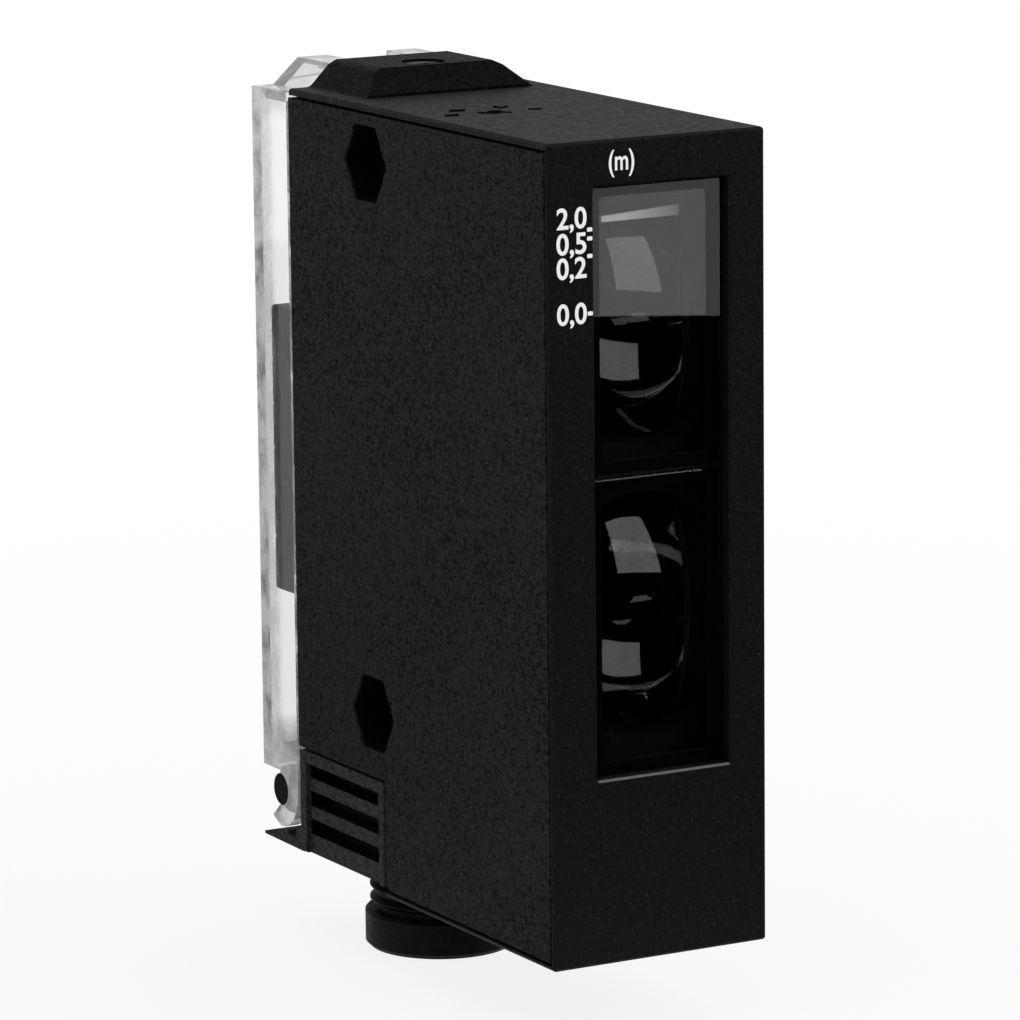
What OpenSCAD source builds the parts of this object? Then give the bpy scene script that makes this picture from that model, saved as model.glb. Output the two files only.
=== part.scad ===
// Diffuse photoelectric sensor with background suppression.
// Sizes are in millimetres. Every piece is drawn with X across the body (0 in the middle),
// Y from the front face (0) to the back and Z from the bottom face (0) upwards, and is then
// shifted so that the middle between the two fixing holes is the origin.

/* [Housing] */
// Width over the two side faces
body_w = 25.8; // [25:0.1:32]
// Depth from the front face to the rear face
body_d = 56.8; // [56:0.1:70]
// Height without the top cap
body_h = 86.2; // [85:0.1:105]
// Thickness of the right side wall and of the side cover
side_wall = 1.8; // [1.5:0.1:2.2]
// Thickness of the front, top and bottom walls
shell_wall = 2; // [1.8:0.1:2.6]
// Thickness of the rear wall
rear_wall = 2; // [1.6:0.1:2.6]
// Bevel of the outer edges
edge_bevel = 0.3; // [0.1:0.05:0.6]
// Width of the groove round the side cover
seam_gap = 0.3; // [0.15:0.05:0.5]
// Rim of the housing above the side cover
rim_top = 0.7; // [0.6:0.1:1.4]
// Rim of the housing before and below the side cover
rim_low = 0.5; // [0.4:0.1:1]

/* [Fixing holes] */
// Distance between the two M5 holes
hole_pitch = 60; // [50:0.5:62]
// Height of the lower hole
hole_low_z = 19.9; // [19:0.1:21]
// Distance of both holes from the front face
hole_y = 39.1; // [38:0.1:40]
// Bore of the holes
hole_d = 5.3; // [5.1:0.1:5.6]
// Nut pocket across flats
nut_flats = 8.1; // [8:0.1:8.4]
// Depth of each nut pocket
nut_depth = 4; // [3:0.1:5]
// Diameter of the boss round each nut pocket
boss_d = 12; // [11:0.1:13]

/* [Window] */
// Width of the window opening
window_w = 16; // [14:0.1:17]
// Height of the window opening
window_h = 61.7; // [56:0.1:62]
// Height of the window's lower edge
window_z = 19.7; // [19:0.1:21]
// Sideways place of the window's middle
window_x = 0.5; // [0:0.1:1]
// Bevel round the window opening
window_edge = 0.2; // [0.1:0.05:0.4]
// How far the panes lie behind the front face
pane_recess = 1; // [0.5:0.1:1.5]
// Thickness of the panes
pane_t = 1.4; // [1:0.1:1.8]
// Width of the ledge behind the panes' edges
ledge = 1.2; // [0.8:0.1:1.6]
// Height of the line where the two panes meet
pane_split_z = 51.2; // [48:0.1:54]

/* [Optics] */
// Radius of the lenses' front
lens_r = 22; // [18:0.5:28]
// Height of the lenses
lens_h = 26; // [22:0.5:27]
// Width of the lenses
lens_w = 13.4; // [11:0.1:13.6]
// Thickness of the lenses in the middle
lens_t = 5.6; // [5.5:0.1:6.2]
// Length of the light shafts behind the lenses
shaft_len = 19; // [16:0.5:19]
// Travel of the pointer along the scale
travel = 8.6; // [6:0.1:8.6]
// Lead of the adjusting thread per turn
thread_lead = 1.25; // [0.5:0.05:2]
// Diameter of the adjusting thread
thread_d = 3.5; // [3:0.1:3.8]
// Running clearance of shafts and threads
running = 0.05; // [0.03:0.01:0.08]

/* [Top cap] */
// Height of the cap above the housing
cap_h = 2.8; // [2.4:0.1:3.4]
// Half width of the cap at its foot
cap_foot = 10.2; // [9:0.1:12]
// Half width of the cap at its shoulders
cap_shoulder = 7.9; // [7:0.1:8.4]
// Half width of the cap's flat top
cap_top = 6.9; // [5:0.1:7]
// Fillet between the cap's sides and the housing
cap_fillet = 0.8; // [0.4:0.1:1.6]
// Depth of the cap's foot before the rear face
cap_d = 13.6; // [12.6:0.1:14.5]
// Adjuster hole
adjuster_d = 4.9; // [4.8:0.1:5.4]
// Distance of the adjuster from the rear face
adjuster_back = 7.3; // [7.2:0.1:7.4]

/* [Rear cover] */
// Gap between the rear face and the clear cover
cover_gap = 0.4; // [0.2:0.05:0.6]
// Depth of the clear cover
cover_d = 8.4; // [8.2:0.1:12]
// Wall of the clear cover
cover_wall = 1.2; // [1:0.1:1.5]
// Height of the clear cover's lower edge
cover_z = 9.2; // [8.8:0.1:10]
// Radius along the clear cover's upper rear edge
cover_round = 0.7; // [0.4:0.1:2]
// Radius along the clear cover's upright rear edges
cover_corner = 0.3; // [0.2:0.1:1]
// Hinge pin
pin_d = 3.6; // [3:0.1:3.8]
// Height of the hinge pin
pin_z = 7; // [6.8:0.1:7.2]
// Distance of the hinge pin behind the rear face
pin_back = 4.6; // [4.5:0.1:5]
// Thickness of the hooks that clip on the pin
hook_t = 1.6; // [1.3:0.1:1.8]
// Outer radius of the hooks
hook_r = 4.2; // [4:0.1:4.3]
// How far the hood's top lies under the cap's top
hood_drop = 0.5; // [0.2:0.1:0.8]
// Width of the notch in the middle of the hood
notch_w = 7.4; // [6:0.1:8]
// Depth of the notch
notch_h = 1; // [0.8:0.1:1.4]
// Width of the latch hook under the notch
latch_w = 5; // [4:0.1:6]

/* [Cable entry] */
// Front of the entry block
entry_y = 37; // [36:0.1:38]
// Height of the entry block's top seam
entry_h = 12.6; // [12:0.1:13.2]
// Underside of the entry block
entry_z = 1; // [0.6:0.1:1.4]
// Pitch of the slots in the entry block's flanks
slot_pitch = 3.2; // [3:0.1:3.3]
// Height of each slot
slot_h = 1.75; // [1.5:0.05:2]
// Distance of the cable axis from the rear face
gland_back = 9; // [9:0.1:9.5]
// Outer diameter of the gland thread
gland_d = 15.9; // [14:0.1:16]
// Pitch of the gland thread
gland_pitch = 1.5; // [1:0.1:1.6]
// Length of thread that shows under the body
gland_gap = 5; // [2:0.1:6]
// Diameter of the gland's head
gland_head_d = 17; // [16.5:0.1:19]
// Height of the gland's head
gland_head_h = 4.2; // [3:0.1:6]
// Cable hole of the gland
cable_d = 9; // [6:0.1:9.5]

/* [Terminals] */
// Number of terminals
poles = 6; // [3:1:6]
// Distance between terminals
pole_pitch = 5; // [4.6:0.1:5.2]
// Width of the terminal block
block_w = 10; // [9:0.1:11]
// Height of the terminal block's lower end
block_z = 29.5; // [29.5:0.1:34]
// Height of the collars round the terminals' screw holes
collar_h = 0.5; // [0.3:0.1:0.8]

/* [Hidden] */
$fn = 64;
over = 1;        // how far a cut runs past a face
root = 0.2;      // how far a boss or a rib runs into the wall that carries it
play = 0.1;      // assembly clearance between fixed pieces
groove = 0.4;    // width of the thin grooves and slots

left = -body_w / 2;
right = body_w / 2;
inner_left = left + side_wall;
inner_right = right - side_wall;
inner_top = body_h - shell_wall;
front_in = shell_wall + 0.4;
rear_in = body_d - rear_wall;

hole_z = [hole_low_z, hole_low_z + hole_pitch];
hole_mid_z = hole_low_z + hole_pitch / 2;
tube_d = hole_d + 3;
pocket_floor = 1;

window_top = window_z + window_h;
pane_back = pane_recess + pane_t;
frame_back = pane_back + 1.1;
frame_rim = 1.4;
pane_gap = 0.4;
pane_edge = 0.15;
pane_z = [[pane_split_z + pane_gap / 2, window_top - play], [window_z + play, pane_split_z - pane_gap / 2]];

lens_front = frame_back + 1.8;
lens_back = lens_front + lens_t;
lens_z = [(pane_split_z + window_top) / 2, (window_z + pane_split_z) / 2];
shaft_end = lens_back + shaft_len;
carrier_front = frame_back + 1.5;
carrier_w = lens_w + 4;
carrier_x = [window_x - carrier_w / 2, window_x + carrier_w / 2];
carrier_z = [window_z - 0.6, window_top + 0.6];
carrier_screw_y = [lens_back + 4, shaft_end - 3.5];
carrier_screw_z = pane_split_z - 0.9;
carrier_post_d = 4.6;
carrier_head_x = carrier_x[0] + 8;
screw_d = 2.2;
screw_head_h = 1.3;
beam_end_w = 8;
beam_end_h = [19, 8];

led_d = 5;
led_rim = 0.8;
led_pins = [-1.27, 1.27];
led_board_half = 6;
led_board_t = 1;
ribbon_z = lens_z[1] + 3;
ribbon_t = 0.3;
ribbon_x = [window_x + 2.2, window_x + 5.8];

pointer_z = window_top - 3.6;
pointer_y = pane_back + 1.25;
pointer_t = 0.4;
pointer_reach = [5.3, 3.9];
arm_t = 1.3;
arm_x = inner_right - 0.3 - arm_t;
arm_h = 8;
arm_top = min(hole_z[1] - boss_d / 2 - 0.6, window_top - 8);
arm_z = arm_top - arm_h;
arm_front = pointer_y + pointer_t;
arm_band = 0.9;
arm_band_h = 0.7;
bridge_t = 1.4;
bridge_y = shaft_end + 0.3;
diode_w = 5.2;
diode_h = 4.4;
diode_t = 1.8;

spindle_y = body_d - adjuster_back;
rod_x = -7;
rod_d = 2.5;
rod_seat = 0.8;
rod_socket_h = 4;
nut_front = spindle_y - 3.2;
nut_back = spindle_y + 2.4;
shelf_t = 2.5;
shelf_floor = 0.8;
shelf_z = arm_z - travel - 1 - shelf_t;
cap_z = body_h + cap_h;
cap_floor = body_h + 0.8;
shadow_gap = 0.3;
neck_d = 3;
seal_d = 0.62;
head_d = adjuster_d - 0.5;
head_h = 1.1;
head_slot = [0.7, 0.8];
head_z = cap_floor + seal_d + 0.03;
bush_d = 7;
bush_end = inner_top - 0.6;
bush_flange_d = 8.6;
clip_t = 0.5;
clip_d = neck_d + 2.4;
clip_groove_d = neck_d - 0.8;
spindle_thread = 0.3;

board_t = 1.6;
board_back = rear_in - 0.4;
board_front = board_back - board_t;
board_half = inner_right - 0.5;
chamber_top = block_z - 1.6;
chamber_wall = 1.2;
floor_top = entry_h + chamber_wall;
chamber_front = hole_y + boss_d / 2 + 0.2;
board_z = [chamber_top + 0.3, inner_top - 1.2];
relief = 0.8;
board_screw_at = [[0, board_z[0] + 2.6], [2.4 - board_half, inner_top - 8]];
board_screw_d = 2.4;
board_screw_head = [4.2, 1.2];

cover_front = body_d + cover_gap;
cover_back = cover_front + cover_d;
cover_top = body_h - 0.5;
hook_in = right - hook_t;
hood_top = cap_z - hood_drop;
hood_half = cap_foot - (hood_top - cover_top);
hood_inset = 0.3;
hood_lean = 0.5;
cover_fillet = 0.5;
latch_z = body_h - 4;
latch_h = 1;
latch_reach = 1.2;
latch_play = 0.4;
pin_y = body_d + pin_back;
lug_r = pin_d / 2 + 0.8;
lug_w = 4.2;
lug_half = hook_in - 0.4;

gland_y = body_d - gland_back;
seal_top = entry_h - 1.3;
seal_h = 5.4;
washer_t = 0.8;
screw_top = seal_top - seal_h - washer_t;
gland_bore = gland_d + 0.2;
gland_thread = 0.64;
wire_half = 7;
wire_y = [chamber_front + chamber_wall, rear_in];

block_x = left + cover_wall + 0.4;
block_end_x = block_x + block_w;
block_top = block_z + poles * pole_pitch + 2;
block_back = cover_back - cover_wall - 0.4;
block_face = block_back - collar_h;
block_neck_x = [block_x + 1.2, block_end_x - 1.2];
block_neck_z = [block_z + 1, block_top - 1];
pole_x = block_x + 4.8;
cage_y = body_d + 0.9;
cage_w = 3.3;
cage_d = 3.4;
cage_t = 0.5;
cage_play = 0.1;
clamp_screw_d = 2;
clamp_head = [3.5, 1.5];
clamp_head_y = cage_y + cage_d + 0.4;
solder_pin_d = 0.8;
light_x = inner_right - 4.6;
light_z = [inner_top - 7.2, inner_top - 13.2];
light_d = 3;
light_reach = 0.8;

black = [0.09, 0.09, 0.095];
dark = [0.16, 0.16, 0.17];
glassy = [0.75, 0.85, 0.88, 0.45];
steel = [0.72, 0.73, 0.75];
brass_tone = [0.78, 0.64, 0.32];
green_board = [0.1, 0.32, 0.2];

function pole_z(i) = block_z + 1 + (i + 0.5) * pole_pitch;

// Arc of corner points round a centre, from angle a on
function arc(c, r, a, sweep = 90, n = 6) = [
    for (i = [0:n]) [c[0] + r * cos(a + sweep * i / n), c[1] + r * sin(a + sweep * i / n)]
];

// Zigzag outline of a thread's turns, as rings one pitch apart, from z0 up to z1
function thread_points(z0, z1, d, pitch, depth) = [
    for (i = [0:floor((z1 - z0) / pitch) - 1])
        for (k = [[0, 1], [0.12, 1], [0.44, 0], [0.56, 0], [0.88, 1]])
            [d / 2 - k[1] * depth, z0 + (i + k[0]) * pitch]
];

// Moves a piece from the body's measuring corner to the shared origin
module placed() {
    translate([0, -hole_y, -hole_mid_z]) children();
}

// Box from one corner to the opposite one
module block(a, b) {
    translate(a) cube(b - a);
}

// Extrudes an outline of (Y, Z) points across X
module across(x0, x1) {
    translate([x0, 0, 0]) rotate([90, 0, 90]) linear_extrude(x1 - x0) children();
}

// Extrudes an outline of (X, Z) points along Y
module along(y0, y1) {
    translate([0, y1, 0]) rotate([90, 0, 0]) linear_extrude(y1 - y0) children();
}

// Both a piece on the right side and its mirror image on the left side
module both_sides() {
    children();
    mirror([1, 0, 0]) children();
}

// Rectangle from a to b with cut corners
module cut_rect(a, b, c) {
    polygon([
        [a[0] + c, a[1]], [b[0] - c, a[1]], [b[0], a[1] + c], [b[0], b[1] - c],
        [b[0] - c, b[1]], [a[0] + c, b[1]], [a[0], b[1] - c], [a[0], a[1] + c]
    ]);
}

// Box with all twelve edges bevelled
module bevelled(a, b, c) {
    intersection() {
        translate([0, 0, a[2]]) linear_extrude(b[2] - a[2]) cut_rect([a[0], a[1]], [b[0], b[1]], c);
        across(a[0], b[0]) cut_rect([a[1], a[2]], [b[1], b[2]], c);
        along(a[1], b[1]) cut_rect([a[0], a[2]], [b[0], b[2]], c);
    }
}

// Round bar along X
module bar_x(x0, x1, y, z, d) {
    translate([x0, y, z]) rotate([0, 90, 0]) cylinder(h = x1 - x0, d = d);
}

// Round bar along Y
module bar_y(y0, y1, x, z, d) {
    translate([x, y0, z]) rotate([-90, 0, 0]) cylinder(h = y1 - y0, d = d);
}

// Round bar along Z
module bar_z(z0, z1, x, y, d) {
    translate([x, y, z0]) cylinder(h = z1 - z0, d = d);
}

// Hexagonal pocket along X with flats above and below
module hex_x(x0, x1, y, z, flats) {
    translate([x0, y, z]) rotate([90, 0, 90]) cylinder(h = x1 - x0, d = flats / cos(30), $fn = 6);
}

// Outline of the side cover: a plate with its lower rear corner left out for the entry block
module side_outline() {
    low = rim_low + seam_gap;
    top = body_h - rim_top - seam_gap;
    step_y = entry_y - seam_gap;
    step_z = entry_h + seam_gap;
    r = 1.2;    // corner before the entry block
    polygon(concat(
        [[low, low]],
        arc([step_y - r, low + r], r, -90),
        [[step_y, step_z], [body_d, step_z], [body_d, top], [low, top]]
    ));
}

// Height of the bevel between the cap's shoulders and its flat top
function cap_lip() = (cap_shoulder - cap_top) / 2;

// Cross-section of the cap: filleted foot, sloped sides and bevelled shoulders
module cap_outline() {
    slope = atan2(cap_h - cap_lip(), cap_foot - cap_shoulder);
    run = cap_fillet * tan(slope / 2);
    half = concat(
        arc([cap_foot + run, body_h + cap_fillet], cap_fillet, -90, -slope),
        [[cap_shoulder, cap_z - cap_lip()], [cap_top, cap_z]]
    );
    polygon(concat(half, [for (i = [len(half) - 1:-1:0]) [-half[i][0], half[i][1]]]));
}

module fixing_bores(x0, x1) {
    for (z = hole_z) bar_x(x0, x1, hole_y, z, hole_d);
}

module window_frame() {
    half = window_w / 2 + frame_rim;
    block(
        [window_x - half, shell_wall - root, window_z - frame_rim],
        [window_x + half, frame_back, window_top + frame_rim]
    );
}

// Bevel round the front edge of the window opening
module window_bevel() {
    c = window_edge;
    half = window_w / 2;
    intersection() {
        translate([window_x, 0, window_z - over]) linear_extrude(window_h + 2 * over)
            polygon([[-half - 2 * c, -c], [half + 2 * c, -c], [half, c], [-half, c]]);
        across(window_x - half - over, window_x + half + over)
            polygon([[-c, window_z - 2 * c], [c, window_z], [c, window_top], [-c, window_top + 2 * c]]);
    }
}

module window_cuts() {
    half = window_w / 2;
    block([window_x - half, -over, window_z], [window_x + half, pane_back, window_top]);
    window_bevel();
    for (p = pane_z)
        block(
            [window_x - half + ledge, pane_recess, p[0] + ledge],
            [window_x + half - ledge, frame_back + over, p[1] - ledge]
        );
}

// Wall round the wire chamber above the entry block, open to the rear
module chamber_shell() {
    entry_wall = 1.8;
    x1 = inner_right + root;
    y1 = rear_in + root;
    block([inner_left, entry_y - entry_wall, 0], [x1, entry_y, floor_top]);
    block([inner_left, entry_y - root, entry_h], [x1, y1, floor_top]);
    block([inner_left, chamber_front, floor_top - root], [x1, chamber_front + chamber_wall, chamber_top]);
    block([inner_left, chamber_front, chamber_top - chamber_wall], [x1, y1, chamber_top]);
}

// Shelf that carries the lower ends of the spindle and the guide rod
module spindle_shelf() {
    reach = 3;
    block(
        [rod_x - reach, spindle_y - reach, shelf_z],
        [inner_right + root, spindle_y + reach - 0.4, shelf_z + shelf_t]
    );
}

module housing() {
    nut_boss_x = nut_depth + pocket_floor;
    color(black) placed() difference() {
        union() {
            difference() {
                bevelled([left, 0, 0], [right, body_d, body_h], edge_bevel);
                block([left - over, front_in, shell_wall], [inner_right, rear_in, inner_top]);
                across(left - over, inner_left) side_rebate();
            }
            window_frame();
            for (z = hole_z) {
                bar_x(right - nut_boss_x, right - root, hole_y, z, boss_d);
                bar_x(left + nut_boss_x + play, right - nut_depth, hole_y, z, tube_d);
            }
            chamber_shell();
            spindle_shelf();
            for (y = carrier_screw_y)
                bar_x(carrier_x[1], inner_right + root, y, carrier_screw_z, carrier_post_d);
            bar_z(inner_top - rod_socket_h, inner_top + root, rod_x, spindle_y, rod_d + 2.4);
        }
        window_cuts();
        fixing_bores(left - over, right + over);
        for (z = hole_z) hex_x(right - nut_depth, right + over, hole_y, z, nut_flats);
        block([left - over, entry_y, -over], [right + over, body_d + over, entry_h]);
        block([-wire_half, wire_y[0], entry_h - over], [wire_half, wire_y[1], floor_top + over]);
        rear_openings();
        boss_relief();
        for (y = carrier_screw_y)
            bar_x(carrier_x[1] - over, inner_right - play, y, carrier_screw_z, screw_d + 0.04);
        bar_z(inner_top - over, body_h + over, 0, spindle_y, bush_d + play * 2);
        bar_z(shelf_z + shelf_floor, shelf_z + shelf_t + over, 0, spindle_y, neck_d + running * 2);
        bar_z(shelf_z + shelf_floor, inner_top + rod_seat, rod_x, spindle_y, rod_d);
    }
}

// Relief in the top wall for the side cover's upper nut boss
module boss_relief() {
    r = boss_d / 2 + play;
    block(
        [inner_left - over, hole_y - r, inner_top - over],
        [left + nut_depth + pocket_floor + play, hole_y + r, inner_top + relief]
    );
}

// Rebate for the side cover, which leaves the thin rims standing
module side_rebate() {
    polygon([
        [rim_low, rim_low], [entry_y, rim_low], [entry_y, -over], [body_d + over, -over],
        [body_d + over, body_h - rim_top], [rim_low, body_h - rim_top]
    ]);
}

// Wire port, terminal neck, light holes and latch pocket in the rear wall
module rear_openings() {
    y0 = rear_in - over;
    y1 = body_d + over;
    port_half = wire_half + 1;
    latch_half = latch_w / 2 + latch_play;
    block([-port_half, y0, floor_top + 1], [port_half, y1, chamber_top - chamber_wall - play]);
    block(
        [block_neck_x[0] - play, y0, block_neck_z[0] - play],
        [block_neck_x[1] + play, y1, block_neck_z[1] + play]
    );
    for (z = light_z) bar_y(y0, y1, light_x, z, light_d + 2 * play);
    block(
        [-latch_half, body_d - latch_reach - latch_play, latch_z - 0.3],
        [latch_half, y1, latch_z + latch_h + 0.6]
    );
}

module side_cover() {
    boss_end = left + nut_depth + pocket_floor;
    color(black) placed() difference() {
        union() {
            across(left, inner_left) side_outline();
            intersection() {
                union() for (z = hole_z) bar_x(left + root, boss_end, hole_y, z, boss_d);
                block([left, 0, 0], [right, body_d, inner_top + relief - play]);
            }
        }
        fixing_bores(left - over, boss_end + over);
        for (z = hole_z) hex_x(left - over, left + nut_depth, hole_y, z, nut_flats);
    }
}

// Slots in the right flank: a shallow recess from below, three deeper slots and ribs between them
module flank_slots() {
    post_y = [entry_y + 1.2, body_d - 1.6];
    recess = 0.5;
    slot_d = 2.6;
    top = entry_h - 1.3;
    block([right - recess, post_y[0], -over], [right + over, post_y[1], top]);
    for (i = [0:2]) {
        z1 = top - i * slot_pitch;
        block([right - slot_d, post_y[0], z1 - slot_h], [right + over, post_y[1], z1]);
    }
}

module entry_block() {
    y1 = body_d - play;
    color(black) placed() difference() {
        union() {
            bevelled([left, entry_y + 0.15, entry_z], [right, y1, entry_h - play / 2], 0.15);
            block(
                [play - wire_half, wire_y[0] + play, entry_h - 0.5],
                [wire_half - play, wire_y[1] - play, floor_top - play]
            );
            across(left, right) drip_outline();
            both_sides() hinge_lug();
            across(-lug_half, lug_half) sill_outline();
        }
        both_sides() {
            flank_slots();
            hook_relief();
        }
        bar_z(-over, seal_top, 0, gland_y, gland_bore);
        bar_z(seal_top - over, entry_h + 3, 0, gland_y, cable_d + 2);
        bar_x(left - over, right + over, pin_y, pin_z, pin_d + 0.04);
    }
}

// Drip edge that runs out under the clear cover
module drip_outline() {
    tip = cover_back - 0.1;
    inside = body_d - 1;
    polygon([
        [inside, entry_z], [tip - 0.2, entry_z + 0.1], [tip, entry_z + 0.4],
        [body_d + 1, entry_z + 2.5], [inside, entry_z + 2.8]
    ]);
}

// Sill across the rear face, which the clear cover closes over
module sill_outline() {
    tip = pin_y + 1.6;
    inside = body_d - 1;
    polygon([
        [inside, pin_z + 3.2], [tip - 0.4, pin_z + 3.4], [tip, pin_z + 3.8], [tip, entry_h - 0.7],
        [inside, entry_h - 0.4]
    ]);
}

// Room for one of the clear cover's hooks to swing, with a pocket in front of it
module hook_relief() {
    x0 = hook_in - 0.3;
    bar_x(x0, right + over, pin_y, pin_z, 2 * (hook_r + 0.4));
    block([x0, body_d + 1, entry_z + 1.2], [right + over, pin_y - 1.5, pin_z]);
}

// One of the two lugs that hold the hinge pin between the cover's hooks
module hinge_lug() {
    x0 = lug_half - lug_w;
    bar_x(x0, lug_half, pin_y, pin_z, lug_r * 2);
    block([x0, body_d - 1, pin_z - lug_r], [lug_half, pin_y, pin_z + lug_r]);
}

module top_cap() {
    y0 = body_d - cap_d;
    y1 = body_d - play;
    front_run = 3.4;
    color(black) placed() difference() {
        intersection() {
            along(y0 - over, y1 + over) cap_outline();
            across(left, right) polygon([[y0, body_h], [y1, body_h], [y1, cap_z], [y0 + front_run, cap_z]]);
        }
        block([left, y0 - over, body_h - over], [right, y0 + groove, body_h + shadow_gap]);
        bar_z(cap_floor - over, cap_z + over, 0, spindle_y, adjuster_d);
        bar_z(body_h - over, cap_floor, 0, spindle_y, bush_d + play * 2);
    }
}

// One glass pane with a small bevel round its front edge
module pane(z) {
    half = window_w / 2 - play;
    bevelled([window_x - half, pane_recess, z[0]], [window_x + half, pane_back, z[1]], pane_edge);
}

module upper_window() {
    color(glassy) placed() pane(pane_z[0]);
}

module lower_window() {
    color(glassy) placed() pane(pane_z[1]);
}

// Plano-convex lens, cut straight at both sides
module lens_body(z, grow = 0) {
    intersection() {
        translate([window_x, lens_front + lens_r, z]) sphere(r = lens_r + grow, $fn = 128);
        block(
            [window_x - lens_w / 2 - grow, lens_front - over, z - lens_h / 2 - over],
            [window_x + lens_w / 2 + grow, lens_back, z + lens_h / 2 + over]
        );
        bar_y(lens_front - over, lens_back, window_x, z, lens_h + grow * 2);
    }
}

module receiver_lens() {
    color(glassy) placed() lens_body(lens_z[0]);
}

module emitter_lens() {
    color(glassy) placed() lens_body(lens_z[1]);
}

// Tapered light shaft from behind a lens to its diode
module beam(z, end_h) {
    y0 = lens_back - play;
    y1 = shaft_end + play;
    start_w = lens_w / 2 - 0.7;
    start_h = lens_h / 2 - 1.2;
    intersection() {
        translate([window_x, 0, z - lens_h]) linear_extrude(2 * lens_h)
            polygon([[-start_w, y0], [start_w, y0], [beam_end_w / 2, y1], [-beam_end_w / 2, y1]]);
        across(window_x - lens_w, window_x + lens_w) translate([0, z])
            polygon([[y0, -start_h], [y1, -end_h / 2], [y1, end_h / 2], [y0, start_h]]);
    }
}

module lens_seat(z) {
    half = lens_w / 2 + play;
    intersection() {
        bar_y(carrier_front - over, lens_back, window_x, z, lens_h + 2 * play);
        block([window_x - half, 0, 0], [window_x + half, lens_back, body_h]);
    }
}

module optics_carrier() {
    x0 = carrier_x[0];
    pad_half = 3;
    pad_recess = 0.8;
    color(dark) placed() difference() {
        bevelled([x0, carrier_front, carrier_z[0]], [carrier_x[1], shaft_end, carrier_z[1]], 0.4);
        for (i = [0, 1]) {
            lens_seat(lens_z[i]);
            beam(lens_z[i], beam_end_h[i]);
        }
        for (y = carrier_screw_y) {
            bar_x(x0 - over, carrier_x[1] + over, y, carrier_screw_z, screw_d + 2 * play);
            bar_x(x0 - over, carrier_head_x, y, carrier_screw_z, screw_d * 1.8 + 0.6);
        }
        for (z = [carrier_z[0] + 10, carrier_z[1] - 10])
            block([x0 - over, lens_back + 2, z - pad_half], [x0 + pad_recess, shaft_end - 2, z + pad_half]);
    }
}

// Pan-head screw along X, head at x0, tip at x1
module screw_x(x0, x1, y, z, d) {
    slot = [d * 1.2, 0.4, 0.6];
    difference() {
        union() {
            bar_x(x0, x0 + screw_head_h, y, z, d * 1.8);
            bar_x(x0 + screw_head_h - play, x1, y, z, d);
        }
        block(
            [x0 - over, y - slot[0] / 2, z - slot[1] / 2],
            [x0 + slot[2], y + slot[0] / 2, z + slot[1] / 2]
        );
    }
}

module carrier_screws() {
    color(steel) placed() for (y = carrier_screw_y)
        screw_x(carrier_head_x - screw_head_h, inner_right - 0.2, y, carrier_screw_z, screw_d);
}

module emitter_board() {
    h = led_board_half;
    y1 = shaft_end + led_board_t;
    color(green_board) placed() difference() {
        block([window_x - h, shaft_end, lens_z[1] - h], [window_x + h, y1, lens_z[1] + h]);
        for (dx = led_pins) bar_y(shaft_end - over, y1 + over, window_x + dx, lens_z[1], 0.8);
    }
}

module emitter_led() {
    z = lens_z[1];
    tip = shaft_end - 4;
    color([0.35, 0.4, 0.6]) placed() union() {
        bar_y(tip, shaft_end, window_x, z, led_d);
        bar_y(shaft_end - 1, shaft_end, window_x, z, led_d + led_rim);
        translate([window_x, tip, z]) sphere(d = led_d);
        for (dx = led_pins) bar_y(shaft_end - root, shaft_end + led_board_t + 0.8, window_x + dx, z, 0.5);
    }
}

// Flat lead from the emitter board to the main board
module emitter_ribbon() {
    y0 = shaft_end + led_board_t;
    color([0.8, 0.75, 0.6]) placed()
        block([ribbon_x[0], y0, ribbon_z], [ribbon_x[1], board_front, ribbon_z + ribbon_t]);
}

module main_board() {
    color(green_board) placed() difference() {
        block([-board_half, board_front, board_z[0]], [board_half, board_back, board_z[1]]);
        for (i = [0:poles - 1])
            bar_y(board_front - over, board_back + over, pole_x, pole_z(i), solder_pin_d + 0.2);
        for (p = board_screw_at) bar_y(board_front - over, board_back + over, p[0], p[1], board_screw_d + 0.2);
    }
}

module board_screws() {
    head_y = board_front - board_screw_head[1];
    slot = [3.2, 0.4, 0.6];
    color(steel) placed() for (p = board_screw_at) translate([p[0], 0, p[1]]) difference() {
        union() {
            bar_y(head_y, board_front, 0, 0, board_screw_head[0]);
            bar_y(board_front - root, rear_in, 0, 0, board_screw_d);
        }
        block([-slot[0] / 2, head_y - over, -slot[1] / 2], [slot[0] / 2, head_y + slot[2], slot[1] / 2]);
    }
}

module output_relay() {
    x0 = pole_x + 1.6;
    z0 = board_z[0] + 6;
    case = [6.8, 6, 11];
    color([0.85, 0.85, 0.8]) placed()
        bevelled([x0, board_front - case[1], z0], [x0 + case[0], board_front, z0 + case[2]], 0.4);
}

module filter_capacitors() {
    d = 6;
    z = [board_z[0] + 1, ribbon_z + 1.2];
    color([0.2, 0.25, 0.4]) placed() for (z0 = z)
        bar_z(z0, z0 + d, board_half - d / 2 - 0.6, board_front - d / 2 - 0.1, d);
}

module control_chips() {
    x = [3.2, 8];
    h = 3.4;
    lead = 0.8;
    color(dark) placed() for (z = [board_z[1] - 1, board_z[1] - 5.2, shelf_z - 1.4]) {
        block([x[0], board_front - 1.1, z - h], [x[1], board_front - play, z]);
        for (k = [0:3]) {
            z1 = z - 0.35 - k * lead;
            block([x[0] - lead, board_front - 0.5, z1 - 0.35], [x[1] + lead, board_front, z1]);
        }
    }
}

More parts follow.
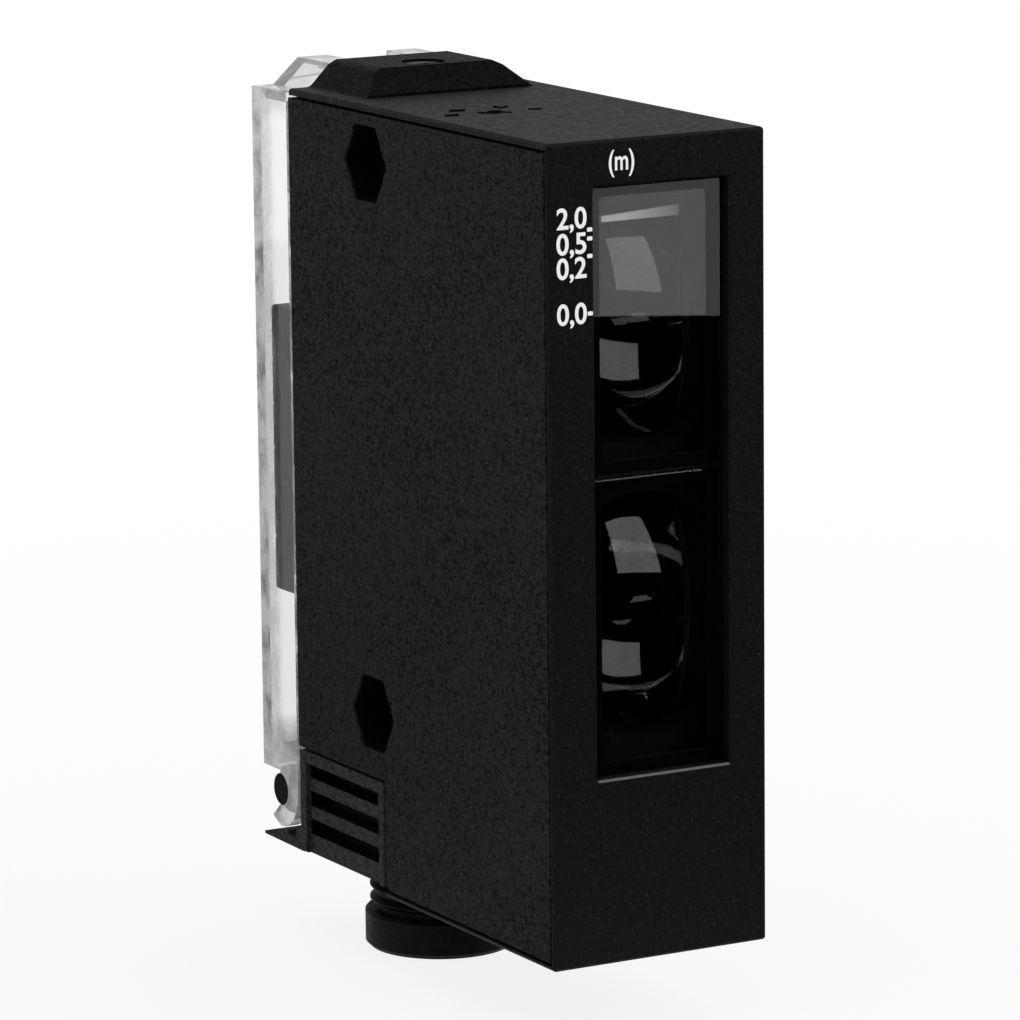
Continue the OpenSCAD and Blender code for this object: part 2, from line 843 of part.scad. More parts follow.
// Carriage: nut and rod guide behind, arm beside the optics, bridge for the diode, band for the pointer
module adjusting_carriage() {
    x1 = arm_x + root;
    band_y = [arm_front, arm_front + arm_band];
    color(dark) placed() difference() {
        union() {
            block([arm_x, arm_front, arm_z], [arm_x + arm_t, nut_back, arm_top]);
            block([rod_x - 2.4, nut_front, arm_z], [x1, nut_back, arm_top - 1]);
            block([window_x - 3.4, bridge_y, arm_top - 7], [x1, bridge_y + bridge_t, arm_top - 0.4]);
            block([arm_x, band_y[0], arm_top - root], [arm_x + arm_t, band_y[1], pointer_z + arm_band_h]);
            block(
                [window_x + 3.4, band_y[0], pointer_z - arm_band_h],
                [x1, band_y[1], pointer_z + arm_band_h]
            );
        }
        bar_z(arm_z - over, arm_top + over, 0, spindle_y, thread_d + running * 2);
        bar_z(arm_z - over, arm_top + over, rod_x, spindle_y, rod_d + running * 2);
    }
}

module receiver_diode() {
    z = arm_top - 3.6;
    w = diode_w / 2;
    h = diode_h / 2;
    chip = 1;
    color([0.15, 0.12, 0.2]) placed() union() {
        bevelled([window_x - w, bridge_y - diode_t, z - h], [window_x + w, bridge_y, z + h], 0.2);
        block(
            [window_x - w + chip, bridge_y - diode_t - root, z - h + chip],
            [window_x + w - chip, bridge_y - diode_t + root, z + h - chip]
        );
    }
}

// Needle that points to the scale on the left
module range_pointer() {
    x0 = window_x - pointer_reach[0];
    x1 = window_x + pointer_reach[1];
    tip_z = [pointer_z - 0.5, pointer_z + 0.1];
    tail_z = [pointer_z - 0.45, pointer_z + 0.65];
    color("white") placed() along(pointer_y, pointer_y + pointer_t)
        polygon([[x0, tip_z[0]], [x1, tail_z[0]], [x1, tail_z[1]], [x0, tip_z[1]]]);
}

module guide_rod() {
    color(steel) placed() bar_z(shelf_z + shelf_floor, inner_top + rod_seat, rod_x, spindle_y, rod_d);
}

module range_spindle() {
    clip_z = bush_end - play - clip_t;
    thread = [shelf_z + shelf_t + 0.6, clip_z - 0.8];
    core_r = thread_d / 2 - spindle_thread;
    color(brass_tone) placed() translate([0, spindle_y, 0]) difference() {
        union() {
            translate([0, 0, head_z]) cylinder(h = head_h, d = head_d);
            translate([0, 0, clip_z - 1]) cylinder(h = head_z - clip_z + 1 + play, d = neck_d);
            rotate_extrude() polygon(concat(
                [[0, thread[0]], [core_r, thread[0]]],
                thread_points(thread[0] + 0.2, thread[1] - 0.2, thread_d, thread_lead, spindle_thread),
                [[core_r, thread[1]], [0, thread[1]]]
            ));
            translate([0, 0, shelf_z + shelf_floor + 0.2]) cylinder(h = shelf_t + 1, d = neck_d);
        }
        translate([-head_d, -head_slot[0] / 2, head_z + head_h - head_slot[1]])
            cube([2 * head_d, head_slot[0], head_slot[1] + over]);
        difference() {
            translate([0, 0, clip_z]) cylinder(h = clip_t, d = neck_d + over);
            translate([0, 0, clip_z - over]) cylinder(h = clip_t + 2 * over, d = clip_groove_d);
        }
    }
}

// Flanged bearing bush, pushed up through the top wall to a shoulder in the cap
module spindle_bush() {
    color(brass_tone) placed() difference() {
        union() {
            bar_z(bush_end, cap_floor, 0, spindle_y, bush_d);
            bar_z(bush_end, inner_top - 0.05, 0, spindle_y, bush_flange_d);
        }
        bar_z(bush_end - over, cap_floor + over, 0, spindle_y, neck_d + running * 2);
    }
}

module spindle_seal() {
    color([0.12, 0.12, 0.12]) placed() translate([0, spindle_y, cap_floor + seal_d / 2])
        rotate_extrude() translate([neck_d / 2 + 0.37, 0]) circle(d = seal_d);
}

module spindle_clip() {
    mouth = 1.6;
    color(steel) placed() translate([0, spindle_y, bush_end - play - clip_t]) difference() {
        cylinder(h = clip_t, d = clip_d);
        translate([0, 0, -over]) cylinder(h = clip_t + 2 * over, d = clip_groove_d);
        translate([-mouth / 2, 0, -over]) cube([mouth, clip_d, clip_t + 2 * over]);
    }
}

module status_lights() {
    y1 = body_d + light_reach;
    color([0.9, 0.9, 0.8, 0.7]) placed() for (z = light_z) union() {
        bar_y(board_back, y1, light_x, z, light_d);
        translate([light_x, y1, z]) sphere(d = light_d);
    }
}

module terminal_block() {
    divider_w = 0.4;
    divider_d = 0.5;
    color(dark) placed() difference() {
        union() {
            bevelled([block_x, body_d, block_z], [block_end_x, block_face, block_top], 0.3);
            block(
                [block_neck_x[0], board_back, block_neck_z[0]],
                [block_neck_x[1], body_d + 0.5, block_neck_z[1]]
            );
            for (i = [0:poles - 1])
                bar_y(block_face - root, block_back, pole_x, pole_z(i), clamp_head[0] + 1.1);
        }
        for (i = [0:poles - 1]) terminal_cuts(pole_z(i));
        for (i = [1:poles - 1]) {
            z0 = block_z + 1 + i * pole_pitch - divider_w / 2;
            block([left, block_face - divider_d, z0], [right, block_back + over, z0 + divider_w]);
        }
    }
}

// Cuts of one terminal: screw hole behind, room for the clamp, wire hole at the side and pin hole
module terminal_cuts(z) {
    cage_x = [pole_x - cage_w / 2 - cage_play, block_end_x - 1.4];
    cage_end = cage_y + cage_d + cage_play;
    cage_h = cage_w / 2 + cage_play;
    wire_h = cage_w / 2 - 0.05;
    bar_y(cage_end - 0.2, block_back + over, pole_x, z, clamp_head[0] + 0.3);
    block([cage_x[0], cage_y, z - cage_h], [cage_x[1], cage_end, z + cage_h]);
    block([cage_x[1] - 0.4, cage_y + 0.3, z - wire_h], [block_end_x + over, cage_end - 0.3, z + wire_h]);
    bar_y(board_back - over, cage_y + 0.2, pole_x, z, solder_pin_d + 0.4);
}

module terminal_screws() {
    y1 = clamp_head_y + clamp_head[1];
    slot = [6, 0.5, 0.8];
    color(steel) placed() for (i = [0:poles - 1]) difference() {
        union() {
            bar_y(clamp_head_y, y1, pole_x, pole_z(i), clamp_head[0]);
            bar_y(clamp_head_y - 2, clamp_head_y + play, pole_x, pole_z(i), clamp_screw_d);
        }
        block(
            [pole_x - slot[0] / 2, y1 - slot[2], pole_z(i) - slot[1] / 2],
            [pole_x + slot[0] / 2, y1 + over, pole_z(i) + slot[1] / 2]
        );
    }
}

module terminal_clamps() {
    h = cage_w / 2;
    y0 = cage_y + cage_play;
    y1 = cage_y + cage_d;
    color(brass_tone) placed() for (i = [0:poles - 1]) {
        z = pole_z(i);
        difference() {
            block([pole_x - h, y0, z - h], [pole_x + h, y1, z + h]);
            block(
                [pole_x - h - over, y0 + cage_t, z - h + cage_t],
                [pole_x + h + over, y1 - cage_t, z + h - cage_t]
            );
            bar_y(y1 - 1, y1 + over, pole_x, z, clamp_screw_d + cage_play);
        }
        bar_y(board_front - 0.6, y0 + root, pole_x, z, solder_pin_d);
    }
}

// Side outline of the cover's box, drawn in by g, open below and in front
module cover_side_outline(g) {
    r = max(cover_round - g, 0.2);
    past = g > 0 ? over : 0;
    y0 = cover_front - past;
    y1 = cover_back - g;
    z0 = cover_z - past;
    z1 = cover_top - g;
    polygon(concat([[y0, z0], [y1, z0]], arc([y1 - r, z1 - r], r, 0), [[y0, z1]]));
}

// Plan outline of the cover's box, drawn in by g
module cover_plan(g) {
    r = g > 0 ? cover_fillet : cover_corner;
    x = right - g;
    y0 = cover_front - over;
    y1 = cover_back - g;
    polygon(concat([[x, y0]], arc([x - r, y1 - r], r, 0), arc([r - x, y1 - r], r, 90), [[-x, y0]]));
}

module cover_box(g) {
    intersection() {
        linear_extrude(body_h + cap_h) cover_plan(g);
        across(left - over, right + over) cover_side_outline(g);
    }
}

// Hood behind the cap, drawn in by g, with a shallow notch in its middle
module cover_hood(g) {
    y0 = cover_front - (g > 0 ? over : 0);
    y1 = cover_back - hood_inset - g;
    z0 = cover_top - 2;
    z1 = cover_top - g;
    top = hood_top - g;
    floor_z = top - notch_h;
    foot = cap_foot - g;
    crown = hood_half - g * 0.7;
    notch = notch_w / 2 + g;
    intersection() {
        along(y0, y1) polygon([
            [-foot, z0], [foot, z0], [foot, z1], [crown, top], [notch, top], [notch, floor_z],
            [-notch, floor_z], [-notch, top], [-crown, top], [-foot, z1]
        ]);
        across(left, right) polygon([[y0, z0], [y1, z0], [y1, z1], [y1 - hood_lean, top], [y0, top]]);
    }
}

// Clear hook round the front half of the hinge pin, with its web up to the side wall
module cover_hook() {
    tip = [pin_y + 1.9, pin_z - hook_r + 0.9];
    web_z = cover_z + 3;
    across(hook_in, right) difference() {
        polygon(concat(
            [tip, [pin_y + 0.2, pin_z - pin_d / 2], [pin_y, pin_z], [pin_y, cover_z], [pin_y + 2.5, cover_z]],
            [[pin_y - 0.6, web_z - 0.4], [cover_front, web_z]],
            arc([pin_y, pin_z], hook_r, 180)
        ));
        translate([pin_y, pin_z]) circle(d = pin_d + running * 2);
    }
}

// Latch hook of the clear cover, on a web that closes the hood's front
module cover_latch() {
    h = latch_w / 2;
    front = body_d - latch_reach;
    block([-h, cover_front, latch_z], [h, cover_front + cover_wall, hood_top - notch_h - 0.3]);
    across(-h, h) polygon([
        [cover_front + root, latch_z], [front + 0.3, latch_z], [front, latch_z + 0.3],
        [front, latch_z + latch_h], [cover_front + root, latch_z + latch_h]
    ]);
}

module clear_cover() {
    color(glassy) placed() union() {
        difference() {
            union() {
                cover_box(0);
                cover_hood(0);
            }
            cover_box(cover_wall);
            cover_hood(cover_wall);
        }
        both_sides() cover_hook();
        cover_latch();
    }
}

module hinge_pin() {
    color(black) placed() bar_x(left + play, right - play, pin_y, pin_z, pin_d);
}

module gland_screw() {
    head = [-gland_gap - gland_head_h, -gland_gap];
    head_r = gland_head_d / 2;
    edge = 0.5;
    core_r = gland_d / 2 - gland_thread;
    color(black) placed() translate([0, gland_y, 0]) difference() {
        rotate_extrude($fn = 96) polygon(concat(
            [[0, head[0]], [head_r - edge, head[0]], [head_r, head[0] + edge]],
            [[head_r, head[1] - 0.3], [head_r - 0.3, head[1]], [core_r, head[1]]],
            thread_points(head[1] + 0.4, screw_top - 0.4, gland_d, gland_pitch, gland_thread),
            [[core_r, screw_top - 0.3], [gland_d / 2 - 1, screw_top], [0, screw_top]]
        ));
        translate([0, 0, head[0] - over]) cylinder(h = screw_top - head[0] + 2 * over, d = cable_d);
    }
}

module gland_washer() {
    color(steel) placed() translate([0, gland_y, screw_top]) difference() {
        cylinder(h = washer_t, d = gland_bore - 0.4);
        translate([0, 0, -over]) cylinder(h = washer_t + 2 * over, d = cable_d + 0.4);
    }
}

module gland_seal() {
    color([0.1, 0.1, 0.1]) placed() translate([0, gland_y, seal_top - seal_h]) difference() {
        cylinder(h = seal_h, d = gland_bore - 0.2);
        translate([0, 0, -over]) cylinder(h = seal_h + 2 * over, d = cable_d - 1);
    }
}

housing();
side_cover();
entry_block();
top_cap();
upper_window();
lower_window();
optics_carrier();
carrier_screws();
receiver_lens();
emitter_lens();
emitter_led();
emitter_board();
emitter_ribbon();
adjusting_carriage();
receiver_diode();
range_pointer();
guide_rod();
range_spindle();
spindle_bush();
spindle_seal();
spindle_clip();
main_board();
board_screws();
output_relay();
filter_capacitors();
control_chips();
status_lights();
terminal_block();
terminal_screws();
terminal_clamps();
clear_cover();
hinge_pin();
gland_screw();
gland_washer();
gland_seal();
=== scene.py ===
"""Looks of a box-shaped light sensor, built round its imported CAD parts."""

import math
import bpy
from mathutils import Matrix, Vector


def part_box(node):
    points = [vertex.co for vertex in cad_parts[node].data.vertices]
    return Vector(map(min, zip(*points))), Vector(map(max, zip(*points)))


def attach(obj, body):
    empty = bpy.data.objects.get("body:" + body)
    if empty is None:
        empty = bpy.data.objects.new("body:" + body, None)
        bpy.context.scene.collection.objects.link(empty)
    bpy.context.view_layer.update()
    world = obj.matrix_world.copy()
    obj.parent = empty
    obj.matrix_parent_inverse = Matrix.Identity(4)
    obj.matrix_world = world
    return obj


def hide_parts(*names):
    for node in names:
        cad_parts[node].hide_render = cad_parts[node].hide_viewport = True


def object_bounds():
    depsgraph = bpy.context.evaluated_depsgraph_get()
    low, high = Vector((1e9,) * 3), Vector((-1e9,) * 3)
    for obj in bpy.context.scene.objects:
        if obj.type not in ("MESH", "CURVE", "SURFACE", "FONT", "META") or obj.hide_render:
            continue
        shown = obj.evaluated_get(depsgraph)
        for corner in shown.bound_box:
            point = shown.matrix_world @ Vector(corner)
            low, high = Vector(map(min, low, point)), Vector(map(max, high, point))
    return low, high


bl_info = {
    "name": "Box Light Sensor",
    "version": (1, 0, 0),
    "blender": (4, 5, 0),
    "location": "3D View > Sidebar > Sensor",
    "description": "Finishes a box-shaped light sensor and adds its lenses, prints and fine parts",
    "category": "Object",
}

from functools import reduce

import bmesh
import bpy
from bpy.props import FloatProperty, FloatVectorProperty, IntProperty, PointerProperty
from mathutils import Matrix, Vector

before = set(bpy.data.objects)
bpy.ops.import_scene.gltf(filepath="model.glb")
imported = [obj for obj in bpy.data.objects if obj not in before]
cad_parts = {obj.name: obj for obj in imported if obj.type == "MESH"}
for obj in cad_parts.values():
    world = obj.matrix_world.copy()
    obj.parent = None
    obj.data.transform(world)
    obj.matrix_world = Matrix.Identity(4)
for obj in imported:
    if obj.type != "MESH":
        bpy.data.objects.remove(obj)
CAD_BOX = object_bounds()

MM = 0.001
BODY_LOW, BODY_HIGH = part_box("housing")
FLOOR_Z = CAD_BOX[0].z


def at(x, y, z):
    """Point in the frame, from millimetres across, behind the front face and above the bottom."""
    return Vector((x * MM, BODY_LOW.y + y * MM, BODY_LOW.z + z * MM))


def size(name, description, default):
    """A length that a user may change."""
    return FloatProperty(name=name, description=description, default=default, subtype="DISTANCE",
                         unit="LENGTH", precision=5)


def tone(name, description, default):
    """A colour that a user may change."""
    return FloatVectorProperty(name=name, description=description, default=default, subtype="COLOR",
                               size=3, min=0, max=1)


class SensorSizes(bpy.types.PropertyGroup):
    """Sizes that the looks add to the CAD parts."""

    edge: size("Edge softening", "Round on the moulded edges", 0.12 * MM)
    grain: size("Grain", "Size of one bump of the spark-eroded grain", 0.3 * MM)
    grain_depth: size("Grain depth", "Height of the spark-eroded grain", 0.07 * MM)
    rim_side: size("Rim at the sides", "Width of the black print at the sides of a pane", 1.45 * MM)
    rim_end: size("Rim at the ends", "Width of the black print at the ends of a pane", 1.1 * MM)
    rim_round: size("Rim corner", "Corner radius of the clear area", 0.6 * MM)
    lens_front: size("Lens front", "Radius of the lenses' front", 23 * MM)
    lens_rear: size("Lens rear", "Radius of the lenses' rear", 41 * MM)
    lens_rear_half: size("Lens rear reach", "Half height of the lenses' rear dome", 9 * MM)
    print_height: size("Print height", "Thickness of the printed ink", 0.015 * MM)
    tick_width: size("Tick width", "Width of a scale mark", 0.62 * MM)
    tick_height: size("Tick height", "Height of a scale mark", 0.42 * MM)
    mark_round: size("Mark corner", "Corner radius of the dark marks on the top", 0.25 * MM)


class SensorColours(bpy.types.PropertyGroup):
    """Colours of the sensor's finishes."""

    body: tone("Body", "Moulded housing", (0.004, 0.004, 0.004))
    side: tone("Side", "Grained side cover", (0.0118, 0.0118, 0.0118))
    ribs: tone("Ribs", "Ribbed entry block", (0.026, 0.026, 0.026))
    inner: tone("Inside", "Optics chassis and carriage", (0.003, 0.003, 0.003))
    ink: tone("Ink", "White print of the scale", (0.86, 0.86, 0.85))
    marks: tone("Marks", "Dark marks on the top", (0.004, 0.004, 0.004))
    board: tone("Board", "Solder mask", (0.012, 0.08, 0.045))
    terminals: tone("Terminals", "Terminal block", (0.034, 0.034, 0.034))
    clear: tone("Clear", "Clear moulded plastic", (0.97, 0.975, 0.975))


# Finishes

def new_tree(owner, output="ShaderNodeOutputMaterial"):
    """Clears a material's or a world's nodes; gives its tree and the surface of a new output."""
    owner.use_nodes = True
    tree = owner.node_tree
    tree.nodes.clear()
    return tree, tree.nodes.new(output).inputs["Surface"]


def new_finish(name):
    """A material with one Principled shader, its tree and that shader."""
    material = bpy.data.materials.new(name)
    tree, surface = new_tree(material)
    shader = tree.nodes.new("ShaderNodeBsdfPrincipled")
    tree.links.new(shader.outputs["BSDF"], surface)
    return material, tree, shader


def plain(shader, **values):
    """Sets plain values on a shader's sockets, with an underscore for each space in a name."""
    for key, value in values.items():
        shader.inputs[key.replace("_", " ")].default_value = value


def rgb(colour, share=1.0):
    """Colour with its alpha, made darker or lighter by a share."""
    return tuple(c * share for c in colour) + (1.0,)


def object_place(tree, stretch=(1, 1, 1)):
    """Object coordinates, stretched along each axis."""
    place = tree.nodes.new("ShaderNodeTexCoord").outputs["Object"]
    if tuple(stretch) == (1, 1, 1):
        return place
    mapping = tree.nodes.new("ShaderNodeMapping")
    mapping.inputs["Scale"].default_value = stretch
    tree.links.new(place, mapping.inputs["Vector"])
    return mapping.outputs["Vector"]


def noise(tree, place, grain, detail=2.0, rough=0.6):
    """Noise with bumps about as wide as grain."""
    n = tree.nodes.new("ShaderNodeTexNoise")
    plain(n, Scale=0.5 / grain, Detail=detail, Roughness=rough)
    tree.links.new(place, n.inputs["Vector"])
    return n.outputs["Fac"]


def ramp(tree, value, *stops):
    """Colour ramp with stops of place and colour."""
    r = tree.nodes.new("ShaderNodeValToRGB")
    elements = r.color_ramp.elements
    while len(elements) < len(stops):
        elements.new(1.0)
    for element, (place, colour) in zip(elements, stops):
        element.position = place
        element.color = colour
    tree.links.new(value, r.inputs["Fac"])
    return r.outputs["Color"]


def spread(tree, value, low, high, start=0.0, end=1.0):
    """Maps value from start to end onto low to high."""
    m = tree.nodes.new("ShaderNodeMapRange")
    plain(m, From_Min=start, From_Max=end, To_Min=low, To_Max=high)
    tree.links.new(value, m.inputs["Value"])
    return m.outputs["Result"]


def connect(tree, value, socket):
    """Links a socket's value or sets a plain one."""
    if isinstance(value, bpy.types.NodeSocket):
        tree.links.new(value, socket)
    else:
        socket.default_value = value


def blend_colours(tree, share, a, b):
    """Mixes two colours or colour sockets by a share."""
    m = tree.nodes.new("ShaderNodeMix")
    m.data_type = "RGBA"
    for place, value in ((0, share), (6, a), (7, b)):
        connect(tree, value, m.inputs[place])
    return m.outputs[2]


def math_node(tree, way, *values):
    """One math node on sockets or numbers."""
    m = tree.nodes.new("ShaderNodeMath")
    m.operation = way
    for socket, value in zip(m.inputs, values):
        connect(tree, value, socket)
    return m.outputs[0]


def joined(tree, way, *values):
    """Chains one kind of math node over several values."""
    return reduce(lambda a, b: math_node(tree, way, a, b), values)


def blend_shaders(tree, share, a, b, surface):
    """Mixes two shaders by a share and leads them to a surface."""
    mix = tree.nodes.new("ShaderNodeMixShader")
    for socket, source in zip(mix.inputs, (share, a, b)):
        tree.links.new(source, socket)
    tree.links.new(mix.outputs["Shader"], surface)


def bump(tree, shader, height, distance):
    """Raises a shader's surface by a height."""
    b = tree.nodes.new("ShaderNodeBump")
    plain(b, Strength=1.0, Distance=distance)
    tree.links.new(height, b.inputs["Height"])
    tree.links.new(b.outputs["Normal"], shader.inputs["Normal"])


# Spans of noise over which each part of the grain sets in
MOTTLE_SPAN = (0.42, 0.58)
PIT_SPAN = (0.37, 0.43)
CROWD_SPAN = (0.35, 0.65)
SPECK_SPAN = (0.68, 0.76)
GLOSS_SPAN = (0.3, 0.7)
GRAIN_STRETCH = (1, 0.65, 1)


def moulded(name, colour, roughness, grain, depth, specular=0.3, speckle=0.5, specks=0.0, pits=0.0):
    """Moulded plastic with a spark-eroded grain, speckle, light specks, dark pits and a slow drift."""
    material, tree, shader = new_finish(name)
    place = object_place(tree, GRAIN_STRETCH)
    fine = noise(tree, place, grain, detail=3.0, rough=0.65)
    mottle = noise(tree, place, grain * 0.9, detail=5.0, rough=0.8)
    drift = noise(tree, place, grain * 60)
    dark = rgb(colour, 1 - speckle)
    light = rgb(colour, 1 + speckle)
    grainy = ramp(tree, mottle, (MOTTLE_SPAN[0], dark), (MOTTLE_SPAN[1], light))
    if pits:
        hollows = noise(tree, place, grain * 0.75, detail=0.0, rough=0.4)
        crowd = spread(tree, noise(tree, place, grain * 30), -0.05, 0.07, *CROWD_SPAN)
        deep = spread(tree, math_node(tree, "ADD", hollows, crowd), pits, 0.0, *PIT_SPAN)
        grainy = blend_colours(tree, deep, grainy, rgb(colour, 0.1))
    if specks:
        spots = noise(tree, place, grain * 0.5, detail=0.0, rough=0.4)
        bright = spread(tree, spots, 0.0, 1.0, *SPECK_SPAN)
        grainy = blend_colours(tree, bright, grainy, rgb(colour, 1 + specks))
    toned = blend_colours(tree, spread(tree, drift, 0.0, 0.25), grainy, rgb(colour, 0.6))
    tree.links.new(toned, shader.inputs["Base Color"])
    gloss = spread(tree, fine, roughness + 0.12, roughness - 0.08, *GLOSS_SPAN)
    tree.links.new(gloss, shader.inputs["Roughness"])
    plain(shader, Specular_IOR_Level=specular)
    bump(tree, shader, fine, depth)
    return material


# Clear parts: the tone of their milky spots, and the share of lamp light that they let through
MILKY = (0.7, 0.7, 0.7, 1)
LAMP_SHARE = 0.92


def clear_finish(name, colour, roughness, ior, wave, haze_of=None):
    """Clear glass or plastic that lets lamps through; haze_of makes the share of it that is milky."""
    material, tree, shader = new_finish(name)
    plain(shader, Base_Color=rgb(colour), Transmission_Weight=1.0, IOR=ior)
    place = object_place(tree)
    smears = noise(tree, place, 1.5 * MM, detail=3.0)
    tree.links.new(spread(tree, smears, roughness * 0.5, roughness * 1.5), shader.inputs["Roughness"])
    if wave:
        bump(tree, shader, noise(tree, place, 4 * MM, detail=1.0), wave)
    if haze_of:
        milky = haze_of(tree, place)
        tree.links.new(blend_colours(tree, milky, rgb(colour), MILKY), shader.inputs["Base Color"])
        tree.links.new(math_node(tree, "SUBTRACT", 1.0, milky), shader.inputs["Transmission Weight"])
    lamps = tree.nodes.new("ShaderNodeBsdfTransparent")
    plain(lamps, Color=rgb(colour, LAMP_SHARE))
    path = tree.nodes.new("ShaderNodeLightPath")
    blend_shaders(tree, path.outputs["Is Shadow Ray"], shader.outputs["BSDF"], lamps.outputs["BSDF"],
                  tree.nodes["Material Output"].inputs["Surface"])
    return material


def axes(tree):
    """X, Y and Z of the object coordinates."""
    parts = tree.nodes.new("ShaderNodeSeparateXYZ")
    tree.links.new(object_place(tree), parts.inputs[0])
    return parts.outputs


def retone(material, share, colour):
    """Mixes a share of another colour into a finish."""
    tree = material.node_tree
    shader = tree.nodes["Principled BSDF"]
    before = shader.inputs["Base Color"].links[0].from_socket
    tree.links.new(blend_colours(tree, share, before, rgb(colour)), shader.inputs["Base Color"])


def print_finish(name, colour, roughness=0.45, specular=0.5):
    """Pad-printed ink with a slightly uneven film."""
    material, tree, shader = new_finish(name)
    place = object_place(tree)
    film = noise(tree, place, 0.25 * MM)
    toned = ramp(tree, film, (0.3, rgb(colour, 0.94)), (0.7, rgb(colour)))
    tree.links.new(toned, shader.inputs["Base Color"])
    tree.links.new(spread(tree, film, roughness - 0.06, roughness + 0.06), shader.inputs["Roughness"])
    plain(shader, Specular_IOR_Level=specular)
    return material


def metal_finish(name, colour, roughness, grain, stretch=(1, 1, 1)):
    """Machined metal with fine tool marks and a little uneven tarnish."""
    material, tree, shader = new_finish(name)
    marks = noise(tree, object_place(tree, stretch), grain, detail=3.0)
    stain = noise(tree, object_place(tree), 1.2 * MM)
    toned = ramp(tree, stain, (0.35, rgb(colour, 0.72)), (0.65, rgb(colour)))
    tree.links.new(toned, shader.inputs["Base Color"])
    tree.links.new(spread(tree, marks, roughness - 0.1, roughness + 0.12), shader.inputs["Roughness"])
    plain(shader, Metallic=1.0)
    bump(tree, shader, marks, 0.004 * MM)
    return material


def board_finish(name, colour):
    """Green solder mask over copper tracks and a woven laminate."""
    material, tree, shader = new_finish(name)
    place = object_place(tree)
    weave = noise(tree, place, 0.3 * MM, detail=1.0)
    tracks = tree.nodes.new("ShaderNodeTexBrick")
    tracks.offset = 0.37
    plain(tracks, Scale=260.0, Mortar_Size=0.09, Mortar_Smooth=0.2, Brick_Width=0.9, Row_Height=0.25)
    tree.links.new(place, tracks.inputs["Vector"])
    toned = blend_colours(tree, tracks.outputs["Fac"], rgb(colour), rgb(colour, 1.9))
    toned = blend_colours(tree, spread(tree, weave, 0.0, 0.35), toned, rgb(colour, 0.6))
    tree.links.new(toned, shader.inputs["Base Color"])
    plain(shader, Roughness=0.32)
    bump(tree, shader, tracks.outputs["Fac"], 0.02 * MM)
    return material


# Shaping

def piece(name, bm, body, material, sharp=None):
    """Makes a bmesh a piece that rides on a body; sharp is the angle past which an edge stays sharp."""
    mesh = bpy.data.meshes.new(name)
    bm.to_mesh(mesh)
    bm.free()
    if sharp is not None:
        mesh.polygons.foreach_set("use_smooth", [True] * len(mesh.polygons))
        mesh.set_sharp_from_angle(angle=math.radians(sharp))
    obj = bpy.data.objects.new(name, mesh)
    bpy.context.scene.collection.objects.link(obj)
    mesh.materials.append(material)
    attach(obj, body)
    return obj


def bevel(bm, geom, width, affect, segments=3):
    """Rounds edges, or corners where affect is VERTICES."""
    bmesh.ops.bevel(bm, geom=geom, offset=width, offset_type="OFFSET", segments=segments,
                    profile=0.5, affect=affect, material=-1, clamp_overlap=True)


def give(node, material):
    """Puts a finish on a CAD node."""
    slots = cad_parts[node].data.materials
    slots.clear()
    slots.append(material)


# Angles, in degrees, under which faces count as flat and past which an edge is rounded
FLAT_ANGLE = 0.3
SHARP_ANGLE = 35


def soften(node, width):
    """Rounds a CAD node's sharp edges with modifiers on its joined faces."""
    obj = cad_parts[node]
    mesh = obj.data
    normals = mesh.attributes.get("custom_normal")
    if normals is not None:
        mesh.attributes.remove(normals)
    mesh.polygons.foreach_set("use_smooth", [True] * len(mesh.polygons))
    join = obj.modifiers.new("Join faces", "WELD")
    join.merge_threshold = 0.002 * MM
    flat = obj.modifiers.new("Flat faces", "DECIMATE")
    flat.decimate_type = "DISSOLVE"
    flat.angle_limit = math.radians(FLAT_ANGLE)
    edge = obj.modifiers.new("Soft edges", "BEVEL")
    edge.width = width
    edge.segments = 2
    edge.limit_method = "ANGLE"
    edge.angle_limit = math.radians(SHARP_ANGLE)
    edge.use_clamp_overlap = True
    edge.miter_outer = "MITER_ARC"
    shade = obj.modifiers.new("Shading", "WEIGHTED_NORMAL")
    shade.keep_sharp = True


def settings(context):
    """The sensor's sizes and colours."""
    return context.scene.sensor_sizes, context.scene.sensor_colours


class SensorOperator:
    """What all operators of the sensor share."""

    bl_options = {"REGISTER", "UNDO"}


